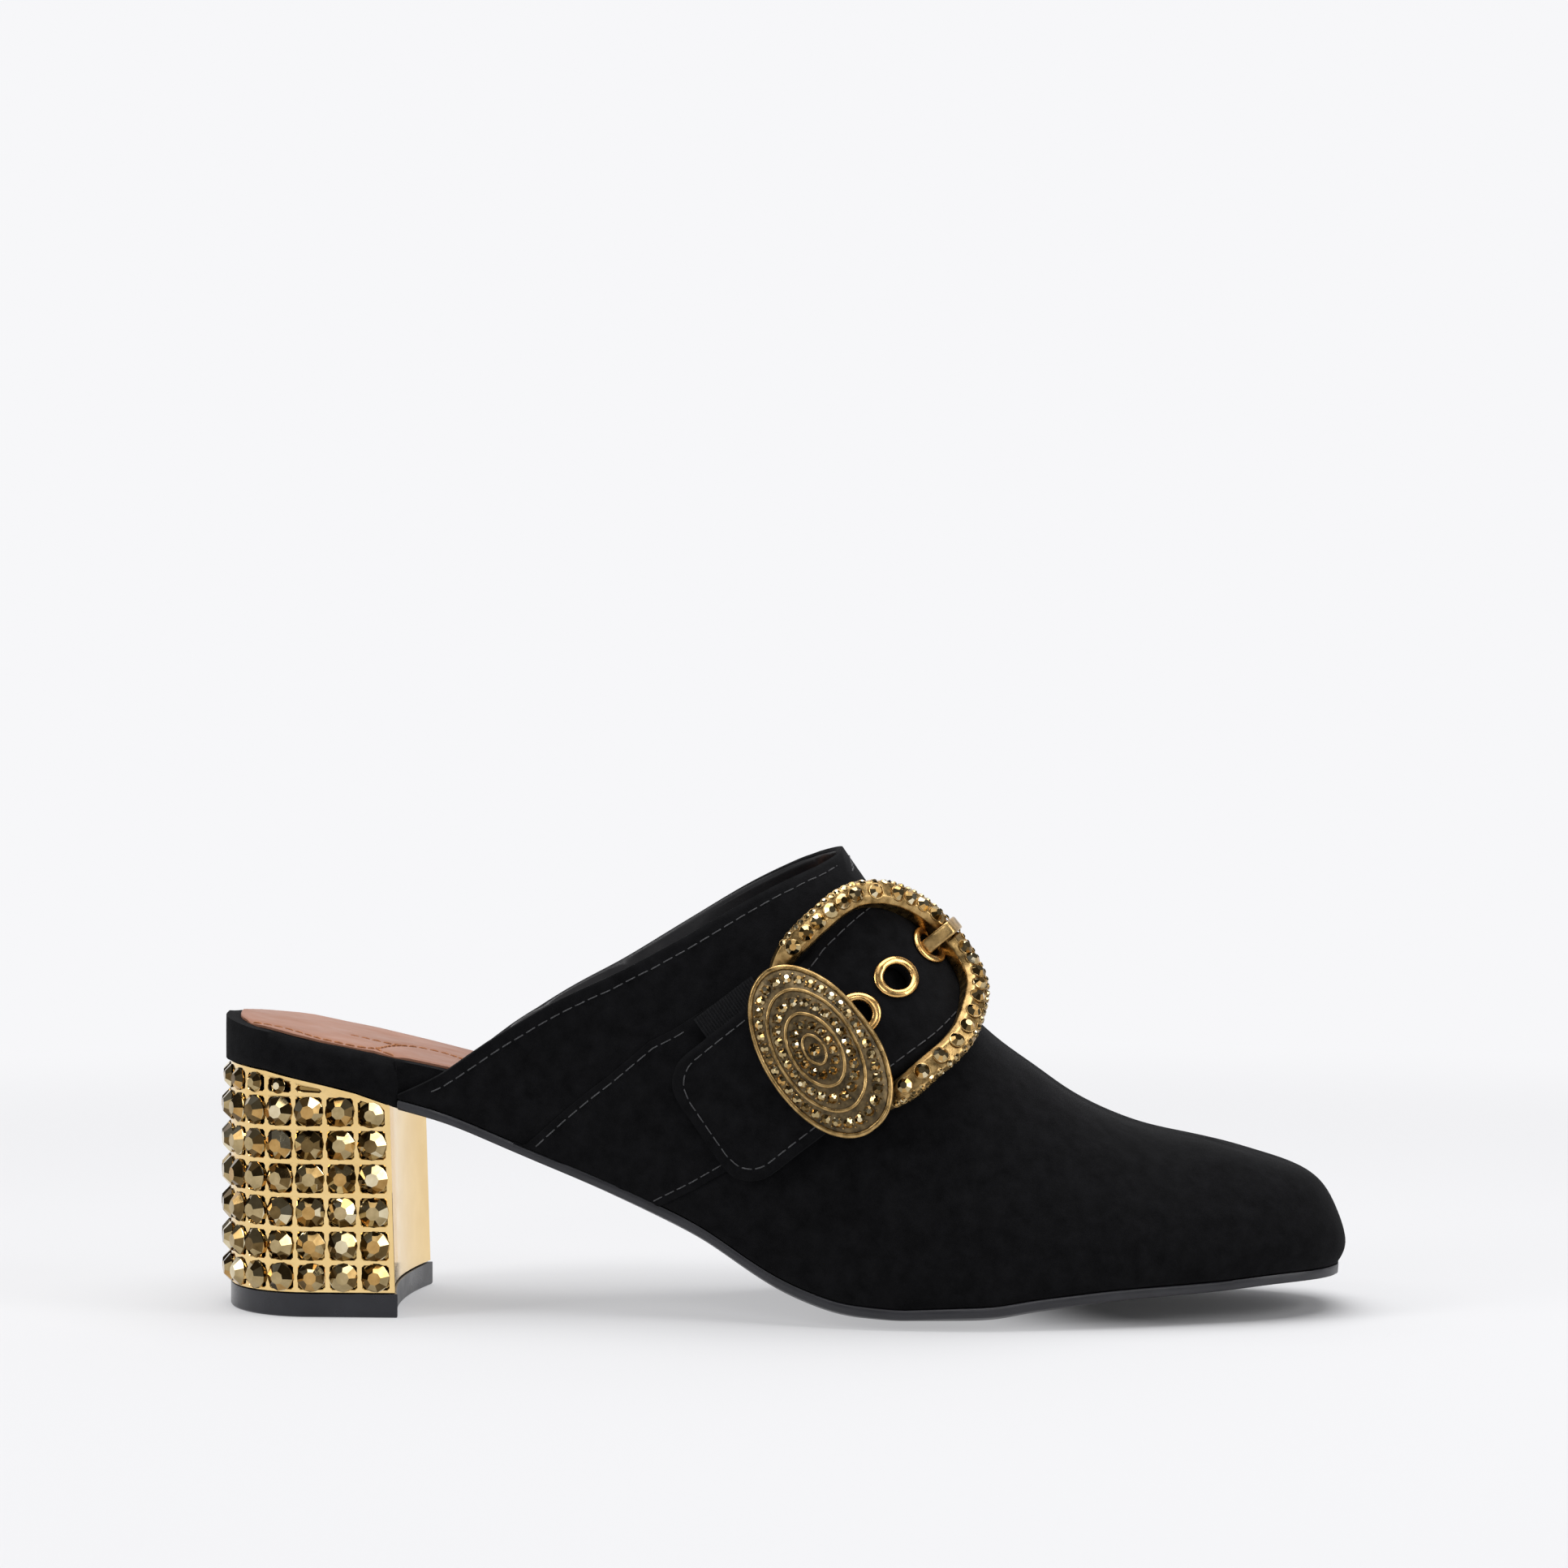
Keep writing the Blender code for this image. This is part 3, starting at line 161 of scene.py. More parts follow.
EYELETS = ((42.2 * MM, -0.3 * MM), (53.2 * MM, 1.4 * MM), (66.5 * MM, 2.6 * MM))

# Seams of the outer side, as (x, z) in mm from the sole upward
REAR_SEAM = (
    (44.0, 34.0), (49.5, 38.8), (56.2, 44.8), (61.5, 49.2), (67.0, 53.4), (75.9, 60.9),
    (81.3, 63.6), (88.4, 68.1), (94.0, 71.0),
)
FRONT_SEAM = (
    (74.0, 22.5), (78.6, 25.2), (85.9, 28.9), (92.7, 32.9), (97.0, 36.0), (100.0, 42.0),
    (102.0, 50.0), (104.0, 58.0), (106.0, 64.0),
)

# Stitch lines of the insole, as (x, y) in mm, and where its edge is looked for
SOCK_LINES = (
    (
        (-14.0, -15.9), (-8.7, -17.4), (-4.0, -18.3), (-0.4, -20.0), (3.8, -22.0),
        (9.2, -22.3), (12.7, -21.3), (14.5, -18.4), (16.1, -9.6), (18.0, -3.3),
        (22.1, 0.4), (26.0, 0.6), (31.4, -2.5), (38.0, -8.0),
    ),
    ((6.3, -5.3), (9.8, -5.5), (13.9, -5.8), (18.0, -3.3)),
    ((14.5, -18.4), (16.5, -21.2), (19.3, -22.3)),
)
SOCK_LEVEL = 0.55 * MM

# The side panel, and how far each row of stitches is from its edge
PANEL_THICKNESS = 0.45 * MM
PANEL_STITCH = 1.7 * MM
COLLAR_STITCH = 2.6 * MM
LINING_STITCH = 3.2 * MM
STRAP_STITCH = 2.1 * MM
STRAP_STITCHED = 168.0 * MM

random.seed(7)


def smooth(places, values, at):
    """Smooth curve through the values that never overshoots between two of them."""
    steps = np.diff(places)
    slopes = np.diff(values) / steps
    tangents = np.zeros(len(values))
    tangents[0] = slopes[0]
    tangents[-1] = slopes[-1]
    for k in range(1, len(values) - 1):
        if slopes[k - 1] * slopes[k] > 0.0:
            before = 2.0 * steps[k] + steps[k - 1]
            after = steps[k] + 2.0 * steps[k - 1]
            tangents[k] = (before + after) / (before / slopes[k - 1] + after / slopes[k])
    at = np.clip(at, places[0], places[-1])
    cell = np.clip(np.searchsorted(places, at, side="right") - 1, 0, len(steps) - 1)
    share = (at - places[cell]) / steps[cell]
    rise = values[cell + 1] - values[cell]
    return (
        values[cell]
        + rise * (3.0 * share**2 - 2.0 * share**3)
        + steps[cell] * tangents[cell] * (share - 2.0 * share**2 + share**3)
        + steps[cell] * tangents[cell + 1] * (share**3 - share**2)
    )


def travelled(points):
    """Distance along a line of points, at each of them."""
    lengths = np.linalg.norm(np.diff(points, axis=0), axis=1)
    return np.concatenate(([0.0], np.cumsum(lengths)))


def at_distances(points, far, wanted):
    """Points of a line at the wanted distances, where far is the distance of each point."""
    return np.stack([np.interp(wanted, far, axis) for axis in points.T], axis=1)


def spread(points, count):
    """Points at equal distances along a line of many points."""
    points = np.asarray(points, float)
    far = travelled(points[:, :3])
    return at_distances(points, far, np.linspace(0.0, far[-1], count))


def rounded(line, count=160):
    """A line of points in mm as a smooth line of many points in metres."""
    knots = np.array(line) * MM
    far = travelled(knots)
    fine = np.linspace(0.0, far[-1], count)
    return np.stack([smooth(far, axis, fine) for axis in knots.T], axis=1)


SOCK_SEAMS = np.concatenate([rounded(line) for line in SOCK_LINES])


def node_tree(node):
    """A ray-casting tree of a CAD node."""
    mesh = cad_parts[node].data
    spots = [point.co.copy() for point in mesh.vertices]
    return BVHTree.FromPolygons(spots, [tuple(face.vertices) for face in mesh.polygons])


def noise(scale, detail=3.0, rough=0.55):
    """A noise of this many features per metre."""
    return "ShaderNodeTexNoise", "Fac", {"Scale": scale, "Detail": detail, "Roughness": rough}


def cells(scale):
    """Distance to the edges of irregular cells."""
    return "ShaderNodeTexVoronoi", "Distance", {"feature": "DISTANCE_TO_EDGE", "Scale": scale}


def finish(name, roughness, tone, stops, gloss, bumps, metallic=0.0, inputs=()):
    """One material of the shoe.

    The stops colour the tone's texture. The gloss is a texture and the range of the
    roughness, and each bump is a texture, a strength and a depth in mm.
    """
    material = bpy.data.materials.new(name)
    material.use_nodes = True
    tree = material.node_tree
    link = tree.links.new
    bsdf = tree.nodes["Principled BSDF"].inputs
    place = tree.nodes.new("ShaderNodeTexCoord").outputs["Object"]

    def node(kind, values):
        made = tree.nodes.new(kind)
        for key, value in values.items():
            if key in made.inputs:
                made.inputs[key].default_value = value
            else:
                setattr(made, key, value)
        return made

    def factor(texture):
        kind, output, values = texture
        made = node(kind, values)
        link(place, made.inputs["Vector"])
        return made.outputs[output]

    values = {"Roughness": roughness, "Metallic": metallic, "Coat Roughness": 0.12, "Sheen Roughness": 0.6}
    values.update(inputs)
    for key, value in values.items():
        bsdf[key].default_value = value
    ramp = node("ShaderNodeValToRGB", {})
    link(factor(tone), ramp.inputs["Fac"])
    elements = ramp.color_ramp.elements
    while len(elements) < len(stops):
        elements.new(0.5)
    for element, (spot, colour) in zip(elements, stops):
        element.position = spot
        element.color = (*colour, 1.0)
    link(ramp.outputs["Color"], bsdf["Base Color"])
    if gloss:
        texture, low, high = gloss
        limits = {"From Min": 0.3, "From Max": 0.7, "To Min": low, "To Max": high}
        made = node("ShaderNodeMapRange", limits)
        link(factor(texture), made.inputs["Value"])
        link(made.outputs["Result"], bsdf["Roughness"])
    normal = None
    for texture, strength, depth in bumps:
        made = node("ShaderNodeBump", {"Strength": strength, "Distance": depth * MM})
        link(factor(texture), made.inputs["Height"])
        if normal is not None:
            link(normal, made.inputs["Normal"])
        normal = made.outputs["Normal"]
    link(normal, bsdf["Normal"])
    return material


def polished_gold(name, dark, light):
    """Bright plated gold with faint ripples."""
    return finish(
        name, 0.1, noise(70.0), ((0.3, dark), (0.7, light)), (noise(260.0, 4.0), 0.08, 0.18),
        ((noise(110.0, 2.0), 0.05, 0.6),), metallic=1.0,
    )


def crystal_metal(name, dark, light, rough):
    """Metal-coated glass in one tone; the pale and brown copies are painted reflections, the others the
    coating's own tones.
    """
    return finish(
        name, rough, noise(420.0), ((0.3, dark), (0.7, light)),
        (noise(1500.0), 0.6 * rough, 1.4 * rough), ((noise(1100.0), 0.03, 0.05),), metallic=1.0,
    )


def thread(name, dark, light):
    """Twisted thread."""
    return finish(
        name, 0.7, noise(2500.0), ((0.3, dark), (0.7, light)), None, ((noise(6000.0), 0.3, 0.05),))


# Near-black suede with a mottled nap
SUEDE = finish(
    "suede_black", 0.95, noise(260.0, 5.0, 0.65),
    ((0.3, (0.0018, 0.0018, 0.0021)), (0.72, (0.0062, 0.0062, 0.0070))), None,
    ((noise(70.0, 2.0), 0.10, 1.2), (noise(2600.0, 2.0), 0.6, 0.14)),
    inputs={"Sheen Weight": 0.012, "Sheen Tint": (0.75, 0.75, 0.8, 1.0), "Specular IOR Level": 0.08},
)
# Glossy leather lining
LINING = finish(
    "lining_black", 0.35, noise(60.0), ((0.3, (0.010, 0.010, 0.011)), (0.7, (0.018, 0.018, 0.020))),
    (noise(140.0), 0.28, 0.42), ((cells(900.0), 0.25, 0.08),), inputs={"Coat Weight": 0.15},
)
# Tan-pink insole leather with fine grain and soft creases
TAN = finish(
    "insole_tan", 0.5, noise(55.0, 4.0, 0.6),
    ((0.3, (0.25, 0.108, 0.062)), (0.7, (0.325, 0.150, 0.093))), (noise(120.0), 0.38, 0.55),
    ((noise(160.0, 3.0), 0.12, 0.5), (cells(1100.0), 0.22, 0.07)), inputs={"Specular IOR Level": 0.25},
)
# Dark grey sole, satin
SOLE = finish(
    "sole_leather", 0.4, noise(110.0, 4.0), ((0.3, (0.012, 0.012, 0.015)), (0.7, (0.021, 0.021, 0.026))),
    (noise(90.0), 0.34, 0.5), ((noise(700.0, 3.0), 0.12, 0.1),),
)
# Blue-black heel tip
RUBBER = finish(
    "heel_rubber", 0.45, noise(200.0), ((0.3, (0.009, 0.0095, 0.014)), (0.7, (0.016, 0.017, 0.023))),
    (noise(150.0), 0.24, 0.38), ((noise(1800.0, 2.0), 0.10, 0.05),),
)
GOLD = polished_gold("heel_gold", (0.86, 0.60, 0.25), (0.95, 0.70, 0.33))
# Darker copy of the heel gold for the pockets' walls and floors: painted shade in the recesses.
POCKET_SHADE_GOLD = polished_gold("heel_gold_painted_pocket_shade", (0.24, 0.15, 0.045), (0.48, 0.32, 0.12))
# Cast brass, darker in patches, softly worn
BRASS = finish(
    "antique_brass", 0.3, noise(420.0, 5.0, 0.65),
    ((0.30, (0.17, 0.105, 0.035)), (0.52, (0.46, 0.30, 0.12)), (0.75, (0.66, 0.46, 0.20))),
    (noise(600.0, 3.0), 0.22, 0.42), ((noise(900.0, 4.0), 0.22, 0.12),), metallic=1.0,
)
# Turned copper-gold eyelets
EYELET_GOLD = finish(
    "eyelet_gold", 0.25, noise(300.0), ((0.3, (0.70, 0.40, 0.13)), (0.7, (0.84, 0.52, 0.20))),
    (noise(900.0), 0.2, 0.3), ((noise(1500.0), 0.03, 0.04),), metallic=1.0,
)
# Blackened ground of the medallion, brighter where it is worn
DARK_BRASS = finish(
    "antique_brass_dark", 0.45, noise(500.0, 5.0, 0.65),
    ((0.35, (0.045, 0.036, 0.024)), (0.72, (0.22, 0.155, 0.075))),
    (noise(700.0, 3.0), 0.34, 0.6), ((noise(1200.0, 4.0), 0.3, 0.12),), metallic=1.0,
)
# Facet tones: olive and amber are the coating's own, pale and brown are painted bright and dark
# reflections.
CRYSTAL_TONES_AND_PAINTED_REFLECTIONS = [
    crystal_metal("crystal_olive", (0.36, 0.27, 0.13), (0.52, 0.40, 0.21), 0.06),
    crystal_metal("crystal_painted_dark_reflection", (0.10, 0.062, 0.022), (0.19, 0.125, 0.05), 0.05),
    crystal_metal("crystal_painted_pale_reflection", (0.66, 0.55, 0.34), (0.82, 0.72, 0.50), 0.07),
    crystal_metal("crystal_amber", (0.42, 0.24, 0.075), (0.58, 0.36, 0.13), 0.08),
]
CRYSTAL_SHARES = (0.40, 0.30, 0.14, 0.16)
GREY_THREAD = thread("thread_grey", (0.026, 0.026, 0.028), (0.075, 0.075, 0.08))
TAN_THREAD = thread("thread_tan", (0.30, 0.11, 0.035), (0.46, 0.19, 0.07))
# Black ribbed elastic
ELASTIC = finish(
    "elastic_black", 0.85, noise(1500.0), ((0.3, (0.003, 0.003, 0.004)), (0.7, (0.009, 0.009, 0.010))),
    None, ((noise(5000.0), 0.4, 0.06),), inputs={"Specular IOR Level": 0.2},
)


def add_object(name, mesh, materials, sharp=35.0):
    """Put a mesh in the scene as a piece of the shoe."""
    made = bpy.data.objects.new(name, mesh)
    bpy.context.scene.collection.objects.link(made)
    if mesh.materials:
        mesh.materials.clear()
    for finish in materials:
        mesh.materials.append(finish)
    mesh.shade_smooth()
    mesh.set_sharp_from_angle(angle=math.radians(sharp))
    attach(made, "root")
    return made


def mesh_from(name, points, faces, merge=0.002 * MM, finishes=None):
    """A mesh from points and faces, with doubled points merged and faces outward.

    The finishes give the number of each face's material.
    """
    mesh = bpy.data.meshes.new(name)
    mesh.from_pydata([tuple(map(float, point)) for point in points], [], faces)
    if finishes:
        mesh.polygons.foreach_set("material_index", finishes)
    work = bmesh.new()
    work.from_mesh(mesh)
    if merge:
        bmesh.ops.remove_doubles(work, verts=work.verts, dist=merge)
    bmesh.ops.recalc_face_normals(work, faces=work.faces)
    work.to_mesh(mesh)
    work.free()
    return mesh


def refined(node, name, levels, crease=1.0, angle=38.0):
    """A smoother copy of a CAD node's mesh; edges sharper than the angle stay creased."""
    work = bmesh.new()
    work.from_mesh(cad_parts[node].data)
    bmesh.ops.remove_doubles(work, verts=work.verts, dist=0.003 * MM)
    bmesh.ops.join_triangles(
        work,
        faces=work.faces,
        angle_face_threshold=math.radians(50.0),
        angle_shape_threshold=math.radians(70.0),
    )
    bmesh.ops.recalc_face_normals(work, faces=work.faces)
    layer = work.edges.layers.float.new("crease_edge")
    for edge in work.edges:
        if len(edge.link_faces) == 2 and edge.calc_face_angle(0.0) > math.radians(angle):
            edge[layer] = crease
    mesh = bpy.data.meshes.new(name)
    work.to_mesh(mesh)
    work.free()
    return subdivided(mesh, levels)


def subdivided(mesh, levels, passes=4):
    """A mesh with a subdivision surface that goes through the mesh's own points."""
    holder = bpy.data.objects.new(mesh.name, mesh)
    bpy.context.scene.collection.objects.link(holder)
    step = holder.modifiers.new("subdivide", "SUBSURF")
    step.levels = levels
    step.render_levels = levels
    wanted = np.array([tuple(point.co) for point in mesh.vertices])
    control = wanted.copy()
    for _ in range(passes):
        mesh.vertices.foreach_set("co", control.ravel())
        mesh.update()
        mesh.update_tag()
        shape = bpy.context.evaluated_depsgraph_get()
        shape.update()
        changed = bpy.data.meshes.new_from_object(holder.evaluated_get(shape))
        reached = np.array([tuple(point.co) for point in changed.vertices[:len(wanted)]])
        control += wanted - reached
    bpy.data.objects.remove(holder, do_unlink=True)
    return changed


def tree_of(mesh, wanted=None):
    """A ray-casting tree of a mesh, or of those of its faces that are wanted."""
    spots = [point.co.copy() for point in mesh.vertices]
    faces = [tuple(f.vertices) for f in mesh.polygons if wanted is None or wanted[f.index]]
    return BVHTree.FromPolygons(spots, faces)


def net(rows, width, around=True, along=False, first=0):
    """Quads between rows of points, closed round each row or from the last row to the first."""
    faces = []
    for k in range(rows if along else rows - 1):
        here, after = first + k * width, first + (k + 1) % rows * width
        for j in range(width if around else width - 1):
            step = (j + 1) % width
            faces.append((here + j, here + step, after + step, after + j))
    return faces


def circle(centre, axis, radius, count, turn=0.0):
    """Points of a circle round an axis."""
    axis = Vector(axis).normalized()
    first = axis.orthogonal().normalized()
    second = axis.cross(first)
    points = []
    for k in range(count):
        angle = turn + FULL_TURN * k / count
        points.append(Vector(centre) + radius * (math.cos(angle) * first + math.sin(angle) * second))
    return points


class Collector:
    """Gathers points and faces of many small forms for one mesh."""

    def __init__(self):
        self.points = []
        self.faces = []
        self.finishes = []

    def add(self, points, faces, finishes=None):
        """Add one form, with the number of each face's material."""
        first = len(self.points)
        self.points.extend(points)
        self.faces.extend(tuple(first + k for k in face) for face in faces)
        self.finishes.extend(finishes or [0] * len(faces))

    def piece(self, name, finish, slot, sharp=35.0):
        """Make the object."""
        mesh = mesh_from(name, self.points, self.faces, merge=0.0)
        return add_object(name, mesh, [finish], sharp)

    def stones(self, name, slot):
        """Make an object of stones, each facet at random in one of four tones: two of the coating, two
        painted reflections.
        """
        tones = random.choices(range(len(CRYSTAL_TONES_AND_PAINTED_REFLECTIONS)), CRYSTAL_SHARES, k=len(self.faces))
        mesh = mesh_from(name, self.points, self.faces, 0.0, tones)
        add_object(name, mesh, CRYSTAL_TONES_AND_PAINTED_REFLECTIONS, 8.0)


def crystal(into, centre, normal, radius, rise, turn=0.0, table=0.47, sunk=0.25):
    """A faceted stone: a round girdle, eight crown facets and an eight-sided table."""
    axis = Vector(normal).normalized()
    points = []
    for count, size, high in ((16, 1.0, -sunk), (16, 1.0, 0.18), (8, table, 1.0)):
        for k, spot in enumerate(circle(centre, axis, radius * size, count, turn)):
            level = high if count == 8 or high < 0.0 or k % 2 == 0 else high - 0.10
            points.append(spot + rise * level * axis)
    faces = [tuple(range(32, 40))] + net(2, 16)
    for k in range(8):
        after = (k + 1) % 8
        low = 16 + 2 * k
        middle = low + 1
        high = 16 + (2 * k + 2) % 16
        faces.append((low, high, 32 + after, 32 + k))
        faces.append((low, middle, high))
    into.add(points, faces)


def tube(into, points, radius, sides=8, closed=False):
    """A round wire along a line of points; radius is one value or one for each point."""
    line = np.asarray(points, float)
    count = len(line)
    radii = np.broadcast_to(radius, count)
    if closed:
        ahead = np.roll(line, -1, axis=0) - np.roll(line, 1, axis=0)
    else:
        ahead = np.gradient(line, axis=0)
    rings = []
    side = Vector(ahead[0]).orthogonal().normalized()
    for k in range(count):
        way = Vector(ahead[k]).normalized()
        side = (side - side.dot(way) * way).normalized()
        other = way.cross(side)
        for j in range(sides):
            angle = FULL_TURN * j / sides
            offset = math.cos(angle) * side + math.sin(angle) * other
            rings.append(Vector(line[k]) + float(radii[k]) * offset)
    faces = net(count, sides, along=closed)
    if not closed:
        faces.append(tuple(range(sides - 1, -1, -1)))
        faces.append(tuple(range((count - 1) * sides, count * sides)))
    into.add(rings, faces)


def stitches(into, points, normals, length=2.3 * MM, space=0.75 * MM, radius=0.15 * MM):
    """Dashes of thread along a line on a surface, each dipping in at both ends."""
    points = np.asarray(points, float)
    normals = np.asarray(normals, float)
    far = travelled(points)
    count = max(1, int(far[-1] / (length + space)))
    step = far[-1] / count
    for k in range(count):
        places = (k + 0.5) * step + np.array((-0.5, -0.42, 0.0, 0.42, 0.5)) * (step - space)
        line = at_distances(points, far, places)
        facing = at_distances(normals, far, places)
        facing /= np.linalg.norm(facing, axis=1)[:, None]
        lifts = np.array((-1.0, 0.15, 0.55, 0.15, -1.0)) * radius
        tube(into, line + facing * lifts[:, None], radius, sides=5)


def make_upper():
    """Suede outside and leather lining inside, one hollow wall."""
    mesh = refined("upper", "upper_shell", 2, crease=0.9)
    inside = []
    for face in mesh.polygons:
        x = min(max(face.center.x, 0.020), 0.196)
        height = np.interp(x, (0.02, 0.06, 0.116, 0.15, 0.196), (0.050, 0.045, 0.045, 0.030, 0.021))
        outward = face.center - Vector((x, 0.0, height))
        inside.append(face.normal.dot(outward) < 0.0)
    made = add_object("upper_shell", mesh, [SUEDE, LINING], 50.0)
    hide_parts("upper")
    for face, inner in zip(mesh.polygons, inside):
        face.material_index = int(inner)
    return mesh, [not inner for inner in inside]


def collar_line(mesh, outer):
    """Points along the collar's outer edge, from the outer wing over the throat."""
    mid = {}
    for face in mesh.polygons:
        if outer[face.index]:
            for key in face.edge_keys:
                mid[key] = mid.get(key, 0) + 1
    neighbours = {}
    for (a, b), uses in mid.items():
        if uses == 1:
            neighbours.setdefault(a, []).append(b)
            neighbours.setdefault(b, []).append(a)
    co = [point.co for point in mesh.vertices]
    top = max(neighbours, key=lambda k: co[k].z)
    sides = []
    for start in neighbours[top][:2]:
        before, here = top, start
        line = [co[top], co[here]]
        while co[here].x > 0.0225:
            onward = [k for k in neighbours[here] if k != before]
            if not onward:
                break
            before, here = here, onward[0]
            line.append(co[here])
        sides.append(line)
    sides.sort(key=lambda line: line[len(line) // 2].y)
    return np.array([tuple(p) for p in sides[0][::-1] + sides[1][1:]])


def from_above(tree, x, y):
    """Highest place of a surface at this point of its plan, and its normal."""
    return tree.ray_cast(Vector((x, y, ABOVE)), Vector((0.0, 0.0, -1.0)))[:2]


def on_surface(tree, spot):
    """Nearest place on a surface and its normal."""
    found, normal, _, _ = tree.find_nearest(Vector(spot))
    return found, normal


def offset_line(tree, line, distance):
    """A line moved over the surface, away from the open edge that it follows."""
    below = Vector((2.7, 0.0, -4.1)) * MM
    facing = np.array([tuple(on_surface(tree, Vector(point) + below)[1]) for point in line])
    even = np.ones(25) / 25.0
    facing = np.stack([np.convolve(axis, even, "same") for axis in facing.T], axis=1)
    spots, normals = [], []
    for point, way, normal in zip(line, np.gradient(line, axis=0), facing):
        down = Vector(way).cross(Vector(normal)).normalized()
        if down.dot(below) < 0.0:
            down = -down
        spot, normal = on_surface(tree, Vector(point) + distance * down)
        spots.append(spot)
        normals.append(normal)
    return np.array(spots), np.array(normals)


def outer_place(tree, x, z):
    """Place on the shoe's outer side at this length and height, and its normal."""
    spot, normal, _, _ = tree.ray_cast(Vector((x, -FAR, z)), Vector((0.0, 1.0, 0.0)))
    return spot, normal


def make_panel(tree, thread_mesh):
    """The panel between the two side seams, stitched on over the quarter and the vamp."""
    rows, columns = 70, 44
    rear = spread(np.array(REAR_SEAM) * MM, rows)
    front = spread(np.array(FRONT_SEAM) * MM, rows)
    points = []
    for i in range(rows):
        for j in range(columns + 1):
            share = 0.5 - 0.5 * math.cos(math.pi * j / columns)
            x, z = rear[i] + (front[i] - rear[i]) * share
            found = outer_place(tree, x, z)
            if found[0] is None:
                found = on_surface(tree, Vector((x, -0.027, z)))
            spot, normal = found
            margin = min(j, columns - j)
            lift = (-0.15 * MM, 0.75 * PANEL_THICKNESS, PANEL_THICKNESS)[min(margin, 2)]
            points.append(spot + lift * normal)
    mesh = mesh_from("upper_side_panel", points, net(rows, columns + 1, around=False))
    add_object("upper_side_panel", mesh, [SUEDE], 60.0)
    for line, way in ((rear, 1.0), (front, -1.0)):
        steps = np.gradient(line, axis=0)
        steps /= np.linalg.norm(steps, axis=1)[:, None]
        beside = np.stack((steps[:, 1], -steps[:, 0]), axis=1) * way
        spots, normals = [], []
        for x, z in (line + beside * PANEL_STITCH)[2:56]:
            spot, normal = outer_place(tree, x, z)
            if spot is not None:
                spots.append(spot + PANEL_THICKNESS * normal)
                normals.append(normal)
        stitches(thread_mesh, spots, normals)


class StrapPath:
    """Places on the upper's outer surface, by distance along and across the strap."""

    def __init__(self):
        tree = node_tree("upper")
        self.across = np.linspace(-STRAP_REACH, STRAP_REACH, STRAP_ROWS)
        self.spots = np.array([self.section(tree, offset) for offset in self.across])
        middle = self.spots[STRAP_ROWS // 2]
        self.along = travelled(middle) - STRAP_START
        up = np.gradient(self.spots, axis=0)
        forward = np.gradient(self.spots, axis=1)
        normals = np.cross(forward, up)
        self.normals = normals / np.linalg.norm(normals, axis=2)[..., None]

    def section(self, tree, offset):
        """Points where the plane at this distance across the strap meets the upper."""
        ahead = np.array((math.cos(STRAP_RISE), 0.0, math.sin(STRAP_RISE)))
        upward = np.array((-math.sin(STRAP_RISE), 0.0, math.cos(STRAP_RISE)))
        middle = np.array((STRAP_X, 0.0, STRAP_Z)) + offset * upward
        side = np.array((0.0, 1.0, 0.0))
        rays = []
        for back in np.arange(STRAP_BELOW, 0.0, -STRAP_STEP):
            rays.append((middle - back * ahead - FAR * side, side))
        for turn in np.linspace(-0.5 * math.pi, 0.5 * math.pi, STRAP_TURNS + 1):
            outward = math.cos(turn) * ahead + math.sin(turn) * side
            rays.append((middle + FAR * outward, -outward))
        for back in np.arange(STRAP_STEP, STRAP_END + STRAP_STEP, STRAP_STEP):
            rays.append((middle - back * ahead + FAR * side, -side))
        hits = [tree.ray_cast(Vector(start), Vector(way))[0] for start, way in rays]
        first = next(k for k, hit in enumerate(hits) if hit)
        for k in range(first - 1, -1, -1):
            hits[k] = 2.0 * hits[k + 1] - hits[k + 2]
        for k in range(first + 1, len(hits)):
            if not hits[k]:
                hits[k] = 2.0 * hits[k - 1] - hits[k - 2]
        return hits

    def place(self, along, across, lift):
        """The point at a height over the surface, and the outward normal there."""
        row = np.clip(np.searchsorted(self.across, across) - 1, 0, STRAP_ROWS - 2)
        col = np.clip(np.searchsorted(self.along, along) - 1, 0, len(self.along) - 2)
        v = (across - self.across[row]) / (self.across[row + 1] - self.across[row])
        u = (along - self.along[col]) / (self.along[col + 1] - self.along[col])
        u, v = np.clip(u, 0.0, 1.0), np.clip(v, 0.0, 1.0)
        found = []
        for grid in (self.spots, self.normals):
            low = grid[row, col] + u * (grid[row, col + 1] - grid[row, col])
            high = grid[row + 1, col] + u * (grid[row + 1, col + 1] - grid[row + 1, col])
            found.append(low + v * (high - low))
        normal = found[1] / np.linalg.norm(found[1])
        return found[0] + lift * normal, normal


def strap_value(name, along):
    """A column of the strap's table, in metres, at a distance along the strap."""
    return float(smooth(STRAP["along"], STRAP[name], along))


def strap_top(along):
    """Height of the strap's face over the upper."""
    return strap_value("lift", along) + STRAP_THICKNESS


def make_strap(path, thread_mesh):
    """Suede strap with stitched margins."""
    made = add_object(
        "buckle_strap_suede",
        refined("buckle_strap", "buckle_strap_suede", 2, crease=0.85, angle=50.0),
        [SUEDE],
        50.0,
    )
    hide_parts("buckle_strap")
    corner = STRAP_CORNER - 1.0 * MM
    lower, upper = [], []
    for along in np.linspace(STRAP_STITCH, STRAP_STITCHED, 240):
        centre = strap_value("centre", along)
        half = strap_value("half", along) - STRAP_STITCH
        short = max(0.0, corner - (along - STRAP_STITCH))
        trim = corner - math.sqrt(max(0.0, corner**2 - short**2))
        lower.append((along, centre - half + trim))
        upper.append((along, centre + half - trim))
    loop = spread(np.array(lower[::-1] + upper), 900)
    spots, normals = [], []
    for along, across in loop:
        spot, normal = path.place(along, across, strap_top(along))
        spots.append(spot)
        normals.append(normal)
    stitches(thread_mesh, spots, normals)


